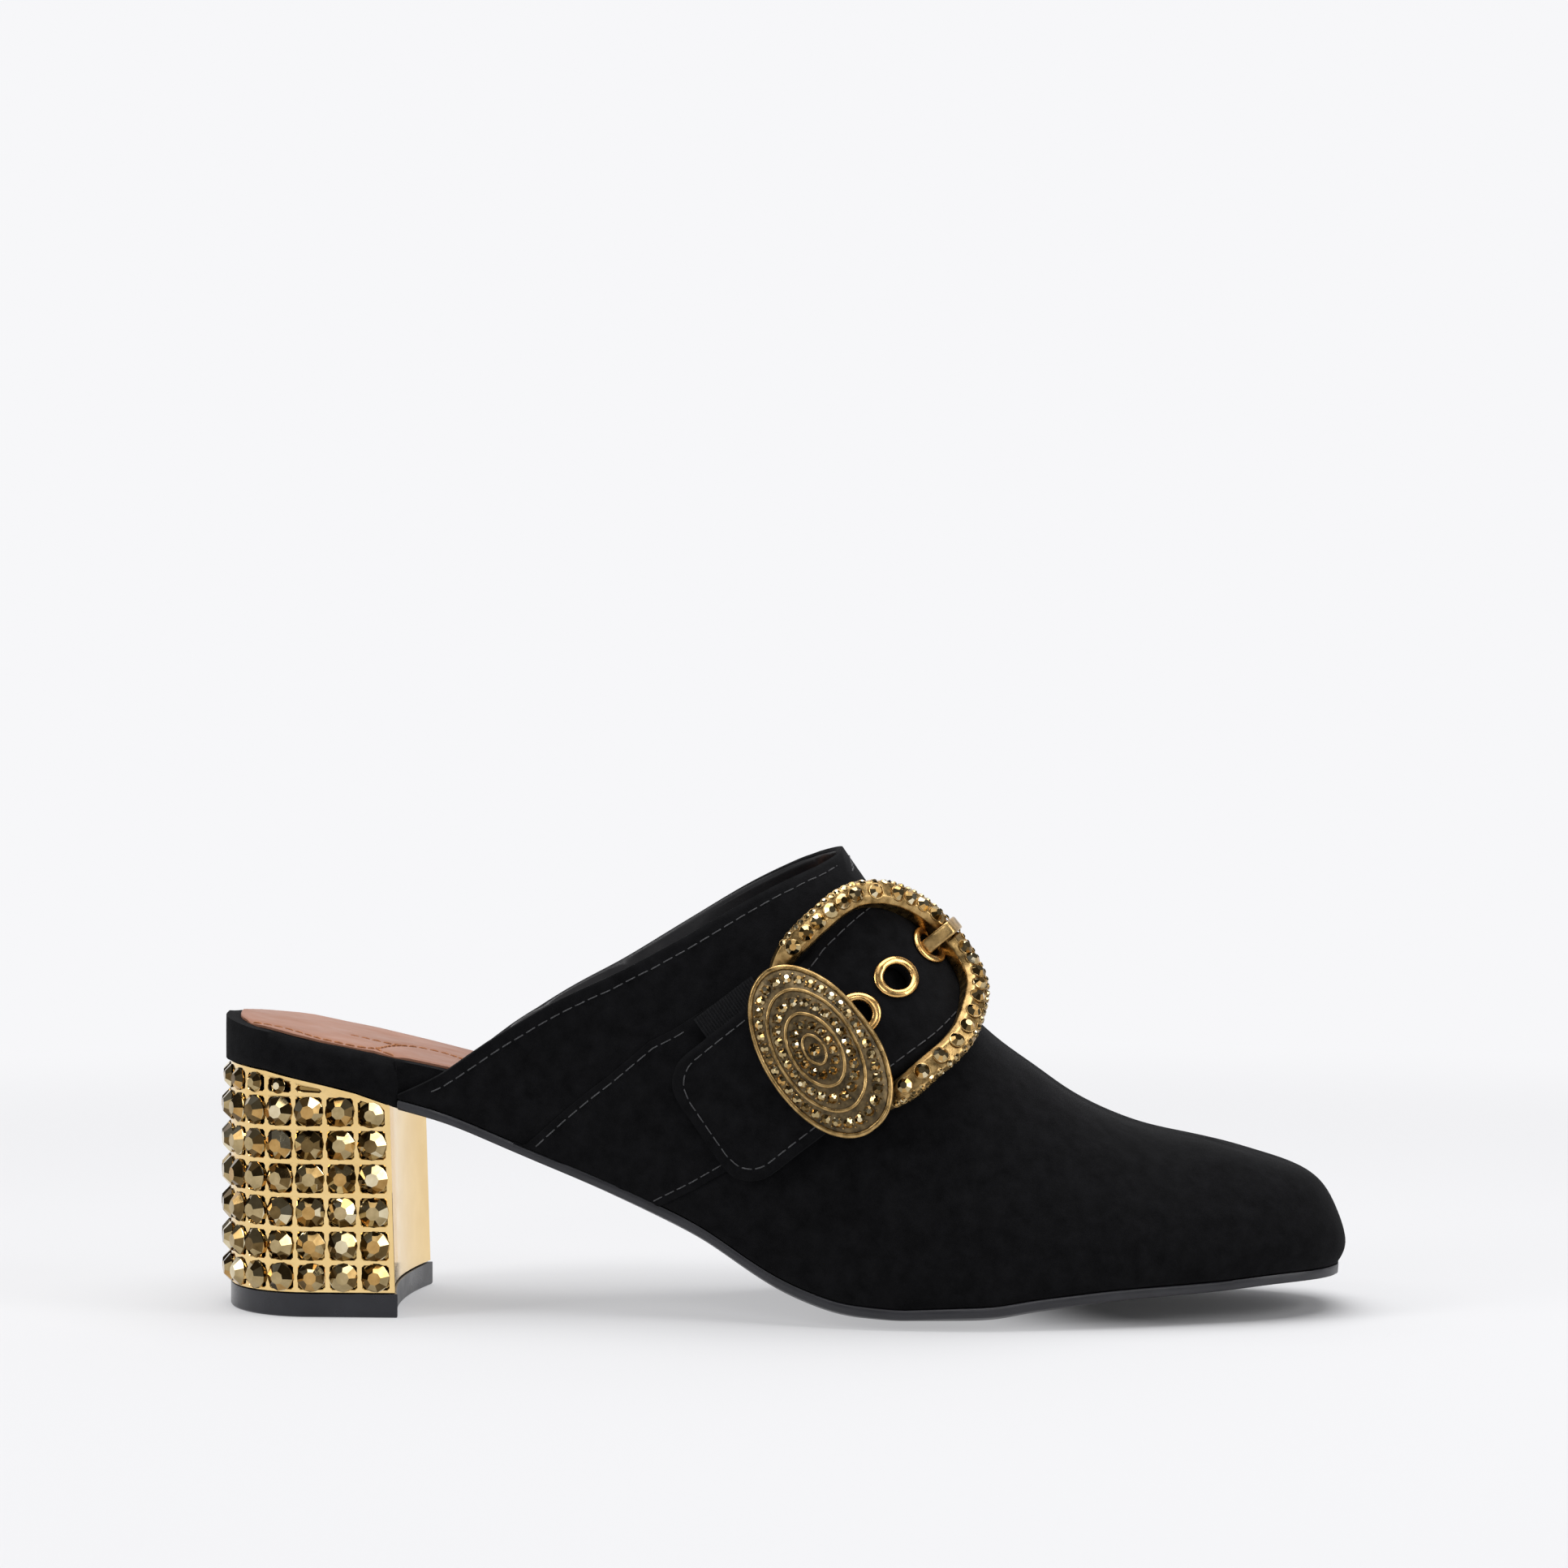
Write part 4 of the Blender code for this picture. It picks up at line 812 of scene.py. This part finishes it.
def make_gore(path):
    """Ribbed elastic between the quarter and the hinge bar."""
    per_rib = 8
    count = int((GORE_ALONG[1] - GORE_ALONG[0]) / GORE_RIB) * per_rib
    alongs = np.linspace(*GORE_ALONG, count + 1)
    acrosses = np.linspace(*GORE_ACROSS, 15)
    points = []
    for k, along in enumerate(alongs):
        wave = 0.5 - 0.5 * math.cos(FULL_TURN * k / per_rib)
        for across in acrosses:
            points.append(path.place(along, across, GORE_LOW + GORE_THICKNESS - 0.28 * MM * (1 - wave))[0])
        for across in acrosses[::-1]:
            points.append(path.place(along, across, GORE_LOW)[0])
    width = 2 * len(acrosses)
    faces = net(count + 1, width)
    for base in (0, width * count):
        for j in range(len(acrosses) - 1):
            faces.append((base + j, base + j + 1, base + width - 2 - j, base + width - 1 - j))
    mesh = mesh_from("gore", points, faces)
    made = add_object("buckle_gore_elastic", mesh, [ELASTIC], 60.0)
    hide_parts("buckle_gore")


def ring_line(count):
    """Even steps along the closed middle line of the buckle's ring."""
    knots = np.array(RING) * MM
    closed = []
    number = len(knots)
    for k in range(number):
        before, here, after, later = (knots[(k + step) % number] for step in (-1, 0, 1, 2))
        for share in np.linspace(0.0, 1.0, 24, endpoint=False):
            closed.append(
                here
                + 0.5 * share * (after - before)
                + share**2 * (before - 2.5 * here + 2.0 * after - 0.5 * later)
                + share**3 * (1.5 * here - 1.5 * after + 0.5 * later - 0.5 * before)
            )
    closed.append(closed[0])
    return spread(np.array(closed), count + 1)[:-1]


def ring_frames(path, line):
    """Place, outward and upward direction, and size at each step of the ring."""
    spots = [path.place(along, across, lift) for along, across, lift, size in line]
    count = len(line)
    found = []
    for k, (spot, normal) in enumerate(spots):
        ahead = spots[(k + 4) % count][0] - spots[k - 4][0]
        outward = np.cross(ahead, normal + RING_FACING * np.array((0.0, -1.0, 0.0)))
        outward /= np.linalg.norm(outward)
        upward = np.cross(outward, ahead)
        upward /= np.linalg.norm(upward)
        found.append((spot, outward, upward, line[k, 3] / MM))
    return found


def make_ring(path):
    """Cast frame with a smooth inner wall, a row of big stones and small ones outside."""
    line = ring_line(RING_STEPS)
    frames = ring_frames(path, line)
    prong_across = EYELETS[-1][1]
    profile = []
    corners = (
        (-0.50, -0.26), (-0.38, -0.50), (0.38, -0.50), (0.50, -0.26),
        (0.50, 0.10), (0.33, 0.48), (-0.30, 0.50), (-0.50, 0.14),
    )
    for k, corner in enumerate(corners):
        before, after = np.array(corners[k - 1]), np.array(corners[(k + 1) % len(corners)])
        corner = np.array(corner)
        for share in (-0.22, -0.06, 0.06, 0.22):
            other = before if share < 0.0 else after
            profile.append(corner + abs(share) * (other - corner) * (0.9 if abs(share) > 0.1 else 1.0))
    points = []
    count = len(frames)
    for k, (spot, outward, upward, size) in enumerate(frames):
        beside = abs(line[k, 1] - prong_across) if line[k, 0] > RING_FRONT else 1.0
        dip = np.clip((NOTCH_HALF - beside) / NOTCH_SLOPE, 0.0, 1.0)
        dip = NOTCH_DEPTH * dip * dip * (3.0 - 2.0 * dip)
        deep = 1.1 * MM * np.clip((line[k, 0] - 56.0 * MM) / (9.0 * MM), 0.0, 1.0)
        for across, high in profile:
            level = high * RING_THICKNESS - (dip if high > 0.2 else 0.0)
            level -= deep if high < 0.0 and across < 0.0 else 0.0
            points.append(spot + size * (across * RING_WIDTH * outward + level * upward))
    mesh = mesh_from("ring", points, net(count, len(profile), along=True))
    made = add_object("buckle_frame_cast", mesh, [BRASS], 60.0)
    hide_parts("buckle_frame")

    stones, collets = Collector(), Collector()
    step = np.linalg.norm(frames[1][0] - frames[0][0])
    for pitch, across, high, radius, lean, rise in (
        (3.70 * MM, -0.10, 0.55, 1.64 * MM, -0.18, 1.05 * MM),
        (1.78 * MM, 0.36, 0.42, 0.74 * MM, 0.60, 0.40 * MM),
        (1.78 * MM, 0.475, 0.04, 0.72 * MM, 1.35, 0.26 * MM),
    ):
        jump = pitch / step
        for number in range(int(count / jump)):
            k = int(round(number * jump + (0.25 * jump if lean > 1.2 else 0.0))) % count
            spot, outward, upward, size = frames[k]
            along, side = line[k, 0], line[k, 1]
            under_prong = along > RING_FRONT and abs(side - prong_across) < radius + PRONG_CLEARANCE
            if along < STONES_FROM or size < 0.86 or (under_prong and lean < 0.5):
                continue
            normal = math.cos(lean) * upward + math.sin(lean) * outward
            centre = spot + size * (across * RING_WIDTH * outward + high * RING_THICKNESS * upward)
            crystal(stones, centre, normal, radius, rise, random.uniform(0.0, 6.28))
            collet = circle(centre - 0.05 * radius * normal, normal, radius + 0.06 * MM, 20)
            tube(collets, collet, 0.09 * radius + 0.04 * MM, 6, closed=True)
    stones.stones("buckle_frame_stones", "antique_brass")
    collets.piece("buckle_frame_settings", BRASS, "antique_brass", 60.0)


def boss_place(path, size, turn, extra=0.0):
    """A place on the medallion's dome, by share of its radius and direction."""
    along = BOSS_ALONG + 0.5 * size * BOSS_WIDTH * math.cos(turn)
    across = BOSS_ACROSS + 0.5 * size * BOSS_LENGTH * math.sin(turn)
    base = strap_top(along) + BOSS_CLEARANCE
    blend = min(1.0, size)
    level = (1.0 - blend) * (strap_top(BOSS_ALONG) + BOSS_CLEARANCE) + blend * base
    lift = level + BOSS_EDGE + BOSS_DOME * max(0.0, 1.0 - size * size) ** 0.75 + extra
    return path.place(along, across, lift)


def make_boss(path):
    """Plain domed medallion: rim, rings of wire and rows of small stones."""
    rings = np.concatenate((np.linspace(0.0, 0.9, 16)[1:], (0.94, 0.97, 1.0)))
    sides = 96
    points = [boss_place(path, 0.0, 0.0)[0]]
    for size in rings:
        for k in range(sides):
            points.append(boss_place(path, size, FULL_TURN * k / sides)[0])
    for extra in (-0.5 * BOSS_EDGE, -BOSS_EDGE):
        for k in range(sides):
            points.append(boss_place(path, 1.0, FULL_TURN * k / sides, extra)[0])
    points.append(boss_place(path, 0.0, 0.0, -BOSS_EDGE - BOSS_DOME)[0])
    faces = net(len(rings) + 2, sides, first=1)
    last = 1 + (len(rings) + 1) * sides
    for k in range(sides):
        after = (k + 1) % sides
        faces.append((0, 1 + k, 1 + after))
        faces.append((last + k, len(points) - 1, last + after))
    mesh = mesh_from("boss", points, faces)
    made = add_object("buckle_medallion", mesh, [DARK_BRASS], 50.0)
    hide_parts("buckle_boss")
    wires, stones = Collector(), Collector()
    turns = np.linspace(0.0, FULL_TURN, 120, endpoint=False)
    for size, radius in ((0.985, 0.66), (0.705, 0.40), (0.425, 0.38), (0.17, 0.32)):
        loop = [boss_place(path, size, turn)[0] for turn in turns]
        tube(wires, loop, radius * MM, 10, closed=True)
    turns = np.linspace(0.0, FULL_TURN, 721)
    for size, radius, pitch in ((0.845, 1.12, 2.6), (0.565, 1.08, 2.5), (0.295, 0.95, 2.3)):
        loop = np.array([boss_place(path, size, turn)[0] for turn in turns])
        far = travelled(loop)
        count = int(far[-1] / (pitch * MM))
        for place in np.linspace(0.0, far[-1], count, endpoint=False):
            turn = float(np.interp(place, far, turns))
            spot, _ = boss_place(path, size, turn)
            near = Vector(boss_place(path, size, turn + 0.02)[0] - spot)
            out = Vector(boss_place(path, size + 0.02, turn)[0] - spot)
            outward = out.cross(near)
            crystal(stones, spot, outward, radius * MM, 0.75 * MM, random.uniform(0.0, 6.28))
            between = turn + math.pi * pitch * MM / far[-1]
            for off in (-0.055, 0.055):
                bead = boss_place(path, size + off, between, 0.05 * MM)[0]
                crystal(wires, bead, outward, 0.26 * MM, 0.35 * MM, 0.0, 0.6)
    spot, normal = boss_place(path, 0.0, 0.0)
    crystal(stones, spot, normal, 1.35 * MM, 1.0 * MM)
    wires.piece("buckle_medallion_wires", BRASS, "antique_brass", 60.0)
    stones.stones("buckle_medallion_stones", "antique_brass")


def make_eyelets(path):
    """Rolled rings round the strap's holes, with a short barrel inside."""
    sides, around = 64, 14
    for number, (along, across) in enumerate(EYELETS):
        points = []
        for k in range(sides):
            turn = FULL_TURN * k / sides
            for j in range(around):
                angle = FULL_TURN * j / around
                wide = EYELET_HALF * math.cos(angle)
                high = 0.5 * MM * math.sin(angle)
                if wide < 0.0 and high < 0.0:
                    high *= 3.2
                place = along + (EYELET_MIDDLE + wide) * math.cos(turn)
                spot = across + (EYELET_MIDDLE + wide) * math.sin(turn)
                level = strap_top(place) + 0.32 * MM + high
                points.append(path.place(place, spot, level)[0])
        name = f"eyelet_{number + 1}"
        mesh = mesh_from(name, points, net(sides, around, along=True))
        made = add_object(name + "_ring", mesh, [EYELET_GOLD], 60.0)
        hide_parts(name)


def heel_plan():
    """Plan of the heel from the outer breast corner round the back to the inner one."""
    turn = np.linspace(-0.5 * math.pi, 0.5 * math.pi, 400)
    arc = np.stack((-HEEL_BACK * np.cos(turn), HEEL_HALF * np.sin(turn)), axis=1)
    line = np.concatenate(([[HEEL_FRONT, -HEEL_HALF]], arc, [[HEEL_FRONT, HEEL_HALF]]))
    return spread(line, CELL_COLUMNS * 24 + 1)


class Heel:
    """The heel's outer wall by share of the way round and height."""

    def __init__(self):
        self.plan = heel_plan()
        self.length = travelled(self.plan)[-1]
        self.tree = node_tree("heel_block")
        self.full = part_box("heel_block")[1].z

    def spot(self, share, height):
        """A place on the wall."""
        wanted = share * (len(self.plan) - 1)
        x, y = (np.interp(wanted, np.arange(len(self.plan)), axis) for axis in self.plan.T)
        return self.leaned(x, y, height)

    def leaned(self, x, y, height):
        """A place of the plan at a height, with the heel's lean."""
        lean = HEEL_LEAN * (self.full - height) / (self.full - HEEL_FOOT)
        forward = min(1.0, max(0.0, (x + HEEL_BACK) / (HEEL_FRONT + HEEL_BACK)))
        return Vector((x + lean * forward, y, height))

    def normal(self, share):
        """Outward direction of the wall."""
        step = 0.004
        ahead = self.spot(min(1.0, share + step), 0.03) - self.spot(max(0.0, share - step), 0.03)
        return Vector((-ahead.y, ahead.x, 0.0)).normalized()

    def crown(self, x, y):
        """Height of the block's top at a place of the plan."""
        hit = from_above(self.tree, x * 0.96, y * 0.96)[0]
        return hit.z if hit else self.full


def make_heel():
    """Gold block: a grid of ribs with pockets in a darker gold of painted shade, a stone in each, and a
    hollow plain breast.
    """
    heel = Heel()
    rows = [HEEL_FOOT] + [HEEL_FOOT + CELL_FIRST + CELL_ROW * row for row in range(CELL_ROWS)]
    block, stones = Collector(), Collector()
    edge = 0.006
    shares = np.linspace(edge, 1.0 - edge, CELL_COLUMNS + 1)
    crowns = []
    for share in shares:
        spot = heel.spot(share, 0.03)
        crowns.append(heel.crown(spot.x, spot.y))
    for k in range(CELL_COLUMNS):
        limits = [crown - 0.5 * MM for crown in crowns[k:k + 2]]
        for row, low in enumerate(rows):
            high = rows[row + 1] if row + 1 < len(rows) else 1.0
            lows = [min(low, limit) for limit in limits]
            highs = [min(high, limit) for limit in limits]
            add_cell(heel, block, stones, shares[k:k + 2], lows, highs)
        add_plain(heel, block, shares[k:k + 2], limits, crowns[k:k + 2])
    for ends, index in (((0.0, shares[0]), 0), ((shares[-1], 1.0), -1)):
        add_plain(heel, block, ends, [HEEL_FOOT] * 2, [crowns[index]] * 2)
    across = np.linspace(1.0, -1.0, 25)
    for first, second in zip(across[:-1], across[1:]):
        quad = []
        for height in (0, 1):
            for share in (first, second):
                x = HEEL_FRONT - BREAST_HOLLOW * (1.0 - share**2)
                top = heel.crown(x - 1.0 * MM, share * HEEL_HALF)
                quad.append(heel.leaned(x, share * HEEL_HALF, top if height else HEEL_FOOT))
        block.add([quad[0], quad[1], quad[3], quad[2]], [(0, 1, 2, 3)])
    mesh = mesh_from("heel_gold_block", block.points, block.faces, 0.01 * MM, block.finishes)
    made = add_object("heel_gold_block", mesh, [GOLD, POCKET_SHADE_GOLD], 30.0)
    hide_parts("heel_block")
    stones.stones("heel_stones", "heel_gold")


def make_heel_tip():
    """Rubber tip: the heel's plan with a hollow breast, its lower rim a little worn round."""
    plan = heel_plan()[::4]
    shift = (plan[:, 0] + HEEL_BACK) / (HEEL_FRONT + HEEL_BACK) * (HEEL_LEAN + TIP_PROUD)
    plan[:, 0] += shift
    shares = np.linspace(1.0, -1.0, 26)[1:-1]
    front = HEEL_FRONT + HEEL_LEAN + TIP_PROUD
    breast = np.stack((front - BREAST_HOLLOW * (1.0 - shares**2), shares * HEEL_HALF), axis=1)
    plan = np.concatenate((plan, breast))
    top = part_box("top_lift")[1].z
    levels = ((0.0, 0.5), (0.12, 0.2), (0.4, 0.0), (top / MM - 0.1, 0.0), (top / MM, 0.1))
    points = []
    for height, inset in levels:
        for spot in plan:
            points.append((*(spot - inset * MM * spot / np.linalg.norm(spot)), height * MM))
    count = len(plan)
    faces = net(len(levels), count)
    faces.append(tuple(range(count - 1, -1, -1)))
    faces.append(tuple(range(4 * count, 5 * count)))
    made = add_object("heel_tip", mesh_from("tip", points, faces), [RUBBER], 25.0)
    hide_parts("top_lift")


def add_plain(heel, block, ends, lows, highs):
    """A plain strip of the heel's wall."""
    pieces = 4
    for k in range(pieces):
        quad = []
        for levels in (lows, highs):
            for share in (k / pieces, (k + 1) / pieces):
                place = ends[0] + (ends[1] - ends[0]) * share
                quad.append(heel.spot(place, levels[0] + (levels[1] - levels[0]) * share))
        block.add([quad[0], quad[1], quad[3], quad[2]], [(0, 1, 2, 3)])


def add_cell(heel, block, stones, ends, lows, highs):
    """One cell of the heel's wall: ribs round it, a pocket and its stone."""
    tall = 0.5 * (highs[0] - lows[0] + highs[1] - lows[1])
    if tall < 0.05 * MM:
        return
    if tall < SMALLEST_POCKET:
        add_plain(heel, block, ends, lows, highs)
        return
    wide = (ends[1] - ends[0]) * heel.length

    def at(u, v, deep=0.0):
        share = ends[0] + (ends[1] - ends[0]) * u
        low = lows[0] + (lows[1] - lows[0]) * u
        high = highs[0] + (highs[1] - highs[0]) * u
        return heel.spot(share, low + (high - low) * v) - deep * heel.normal(share)

    corner = min(POCKET_CORNER, 0.28 * tall)
    rings = []
    for extra, deep in ((0.0, 0.0), (0.12 * MM, 0.12 * MM), (0.30 * MM, POCKET_DEPTH)):
        a = (RIB_HALF + extra) / wide
        b = (RIB_HALF + extra) / tall
        c = corner / wide
        d = corner / tall
        outline = (
            (a + c, b), (0.5, b), (1 - a - c, b), (1 - a, b + d), (1 - a, 0.5), (1 - a, 1 - b - d),
            (1 - a - c, 1 - b), (0.5, 1 - b), (a + c, 1 - b), (a, 1 - b - d), (a, 0.5), (a, b + d),
        )
        rings.append([at(u, v, deep) for u, v in outline])
    outer = [at(u, v) for u, v in (
        (0, 0), (0.5, 0), (1, 0), (1, 0.5), (1, 1), (0.5, 1), (0, 1), (0, 0.5))]
    points = outer + rings[0] + rings[1] + rings[2]
    faces = [
        (0, 8, 19), (0, 1, 9, 8), (1, 2, 10, 9), (2, 11, 10), (2, 3, 12, 11), (3, 4, 13, 12),
        (4, 14, 13), (4, 5, 15, 14), (5, 6, 16, 15), (6, 17, 16), (6, 7, 18, 17), (7, 0, 19, 18),
    ]
    faces += net(3, 12, first=8)
    faces.append(tuple(range(32, 44)))
    # Ribs and their rounded edges take the bright gold; pocket walls and floor take the darker gold,
    # painted shade.
    block.add(points, faces, [0] * 24 + [1] * 13)
    if tall < SMALLEST_CELL:
        return
    size = min(1.0, (0.5 * tall - 0.1 * MM) / CRYSTAL_RADIUS)
    normal = heel.normal(0.5 * (ends[0] + ends[1]))
    normal = normal + Vector([random.uniform(-0.035, 0.035) for _ in range(3)])
    centre = at(0.5, 0.5) + 0.12 * MM * normal
    crystal(
        stones, centre, normal, CRYSTAL_RADIUS * size, 1.9 * MM * size,
        random.uniform(0.0, 6.28), 0.46, 0.6,
    )


def quilting(x, y):
    """How far the padded insole dips at its stitch lines, from 0 to 1."""
    off = np.min(np.hypot(SOCK_SEAMS[:, 0] - x, SOCK_SEAMS[:, 1] - y))
    return math.exp(-((off / (1.6 * MM)) ** 2))


def sock_edges(tree, x):
    """Outer and inner edge of the sock at a place along the shoe."""
    top = from_above(tree, x, 0.0)[0]
    if top is None:
        return None
    found = []
    for side in (-1.0, 1.0):
        start = Vector((x, side * FAR, top.z - SOCK_LEVEL))
        hit = tree.ray_cast(start, Vector((0.0, -side, 0.0)))[0]
        if hit is None:
            return None
        found.append(hit.y)
    return found


def make_sock():
    """Padded tan insole cover, dipping at its stitch lines and rolled at its edge."""
    tree = node_tree("sock")
    low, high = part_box("sock")
    middle, reach = 0.5 * (low.x + high.x), 0.5 * (high.x - low.x) - 0.15 * MM
    turns = np.linspace(0.0, math.pi, 330)
    across = 0.5 - 0.5 * np.cos(np.linspace(0.0, math.pi, 62))
    points, rows = [], []
    for turn in turns:
        x = middle - reach * (0.85 * math.cos(turn) + 0.15 * (1.0 - 2.0 * turn / math.pi))
        edges = sock_edges(tree, x)
        if edges is None:
            continue
        wide = edges[1] - edges[0]
        row = []
        for share in across:
            y = edges[0] + wide * share
            safe = edges[0] + wide * (0.5 + 0.985 * (share - 0.5))
            hit = from_above(tree, x, safe)[0]
            z = hit.z if hit else points[-1].z
            roll = max(0.0, 1.0 - min(share, 1.0 - share) * wide / (1.6 * MM))
            dip = 0.42 * quilting(x, y) + 0.3 * roll * roll
            row.append(len(points))
            points.append(Vector((x, y, z + (0.05 - dip) * MM)))
        rows.append(row)
    faces = net(len(rows), len(across), around=False)
    edge = rows[0] + [row[-1] for row in rows[1:]] + rows[-1][-2::-1] + [row[0] for row in rows[-2:0:-1]]
    skirt = []
    for k in edge:
        skirt.append(len(points))
        points.append(points[k] - Vector((0.0, 0.0, 0.5 * MM)))
    for k in range(len(edge)):
        after = (k + 1) % len(edge)
        faces.append((edge[k], edge[after], skirt[after], skirt[k]))
    made = add_object("insole_quilted", mesh_from("sock", points, faces), [TAN], 55.0)
    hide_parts("sock")
    surface = tree_of(made.data)
    thread_mesh = Collector()
    for line in SOCK_LINES:
        spots, normals = [], []
        for x, y in rounded(line):
            hit, normal = from_above(surface, x, y)
            if hit:
                spots.append(hit + 0.08 * MM * Vector((0.0, 0.0, 1.0)))
                normals.append(normal if normal.z > 0.0 else -normal)
        stitches(thread_mesh, spots, normals, length=1.9 * MM, space=0.6 * MM, radius=0.2 * MM)
    thread_mesh.piece("insole_stitching", TAN_THREAD, "insole_leather", 60.0)


def make_plain_parts():
    """The pieces that keep their CAD form with smoother surfaces."""
    for node, name, finish, slot, levels, crease in (
        ("outsole", "outsole_leather", SOLE, "sole_leather", 2, 0.92),
        ("footbed", "footbed_wrap", SUEDE, "black_suede", 2, 0.55),
        ("buckle_prong", "buckle_prong_cast", BRASS, "antique_brass", 3, 0.45),
    ):
        made = add_object(name, refined(node, name, levels, crease), [finish], 40.0)
        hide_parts(node)


def make_shoe():
    """Every visible piece."""
    mesh, outer = make_upper()
    tree = tree_of(mesh, outer)
    thread_mesh = Collector()
    collar = spread(collar_line(mesh, outer), 500)
    lining_tree = tree_of(mesh, [not face for face in outer])
    inner_side = collar[collar[:, 1] > 0.0]
    for side, line, distance in ((tree, collar, COLLAR_STITCH), (lining_tree, inner_side, LINING_STITCH)):
        spots, normals = offset_line(side, line, distance)
        stitches(thread_mesh, spots[12:-12], normals[12:-12])
    make_panel(tree, thread_mesh)
    path = StrapPath()
    make_strap(path, thread_mesh)
    thread_mesh.piece("upper_stitching", GREY_THREAD, "black_suede", 60.0)
    make_gore(path)
    make_ring(path)
    make_boss(path)
    make_eyelets(path)
    make_plain_parts()
    make_heel()
    make_heel_tip()
    make_sock()


def light(name, place, target, size, power):
    """A square soft light that faces a target."""
    data = bpy.data.lights.new(name, "AREA")
    data.shape = "RECTANGLE"
    data.size, data.size_y = size
    data.energy = power
    made = bpy.data.objects.new(name, data)
    bpy.context.scene.collection.objects.link(made)
    made.location = place
    made.rotation_euler = (Vector(target) - Vector(place)).to_track_quat("-Z", "Y").to_euler()


def make_stage():
    """Pale sweep: it catches shadows near the shoe, glows less under the toe as a painted shadow, and is
    evenly bright further away.
    """
    profile = [(-2.5, 0.0), (1.6, 0.0)]
    for turn in np.linspace(0.0, 0.5 * math.pi, 24)[1:]:
        profile.append((1.6 + 0.8 * math.sin(turn), 0.8 - 0.8 * math.cos(turn)))
    profile.append((2.4, 3.0))
    points = [(x, y, z) for y, z in profile for x in (-3.0, 3.0)]
    mesh = bpy.data.meshes.new("sweep")
    mesh.from_pydata(points, [], net(len(profile), 2, around=False))
    mesh.shade_smooth()
    made = bpy.data.objects.new("sweep", mesh)
    bpy.context.scene.collection.objects.link(made)
    made.location.z = -0.05 * MM
    paper = bpy.data.materials.new("sweep_paper")
    paper.use_nodes = True
    tree = paper.node_tree
    tree.nodes.clear()
    add = tree.nodes.new
    place = add("ShaderNodeTexCoord").outputs["Object"]

    def farther(centre, near, far):
        """A factor that grows with the distance from a place."""
        off = add("ShaderNodeVectorMath")
        off.operation = "DISTANCE"
        off.inputs[1].default_value = centre
        tree.links.new(place, off.inputs[0])
        made = add("ShaderNodeMapRange")
        made.interpolation_type = "SMOOTHSTEP"
        made.inputs["From Min"].default_value = near
        made.inputs["From Max"].default_value = far
        tree.links.new(off.outputs["Value"], made.inputs["Value"])
        return made.outputs["Result"]

    def paper_share(glowing, albedo):
        """Paper that glows and scatters, as bright in all as the even backdrop."""
        glow = add("ShaderNodeEmission")
        glow.inputs["Color"].default_value = BACKDROP
        glow.inputs["Strength"].default_value = glowing
        matte = add("ShaderNodeBsdfDiffuse")
        matte.inputs["Color"].default_value = (albedo, albedo, 1.017 * albedo, 1.0)
        both = add("ShaderNodeAddShader")
        tree.links.new(glow.outputs[0], both.inputs[0])
        tree.links.new(matte.outputs[0], both.inputs[1])
        return both.outputs[0]

    def mixed(factor, first, second):
        """Two shaders mixed by a factor."""
        mix = add("ShaderNodeMixShader")
        tree.links.new(factor, mix.inputs["Fac"])
        tree.links.new(first, mix.inputs[1])
        tree.links.new(second, mix.inputs[2])
        return mix.outputs[0]

    # Under the toe the paper glows less and scatters more, which paints a deeper shadow there.
    off_painted_toe_shadow = farther((0.200, 0.004, 0.0), 0.026, 0.062)
    near = mixed(off_painted_toe_shadow, paper_share(0.03, 0.60), paper_share(0.46, 0.335))
    even = add("ShaderNodeEmission")
    even.inputs["Color"].default_value = BACKDROP
    out = add("ShaderNodeOutputMaterial")
    off_shoe = farther((0.1, 0.0, 0.0), 0.28, 0.75)
    tree.links.new(mixed(off_shoe, near, even.outputs[0]), out.inputs["Surface"])
    mesh.materials.append(paper)


def make_lights():
    """Soft studio light: a big one overhead, one at each side and a darker room."""
    target = (0.10, 0.0, 0.04)
    light("overhead", (0.15, 0.05, 1.15), target, (1.3, 1.0), 16.0)
    light("left", (-1.0, -0.55, 0.65), target, (0.4, 0.8), 7.0)
    light("right", (1.2, -0.35, 0.55), target, (0.4, 0.8), 5.5)
    light("front", (0.35, -1.35, 0.75), target, (0.5, 0.35), 2.5)
    world = bpy.data.worlds.new("studio")
    bpy.context.scene.world = world
    world.use_nodes = True
    back = world.node_tree.nodes["Background"]
    back.inputs["Color"].default_value = (0.95, 0.96, 1.0, 1.0)
    back.inputs["Strength"].default_value = 0.12


def make_camera():
    """Camera level with the shoe, three degrees round from square."""
    data = bpy.data.cameras.new("camera")
    data.sensor_width = 36.0
    data.lens = 84.37
    data.shift_y = -0.0212
    data.clip_start = 0.01
    data.clip_end = 20.0
    made = bpy.data.objects.new("camera", data)
    bpy.context.scene.collection.objects.link(made)
    made.location = (147.2 * MM, -825.6 * MM, 124.3 * MM)
    made.rotation_euler = (math.radians(90.0), 0.0, math.radians(3.0))
    bpy.context.scene.camera = made


make_shoe()
make_stage()
make_lights()
make_camera()
bpy.context.scene.view_settings.view_transform = "Standard"
bpy.context.scene.cycles.use_denoising = True
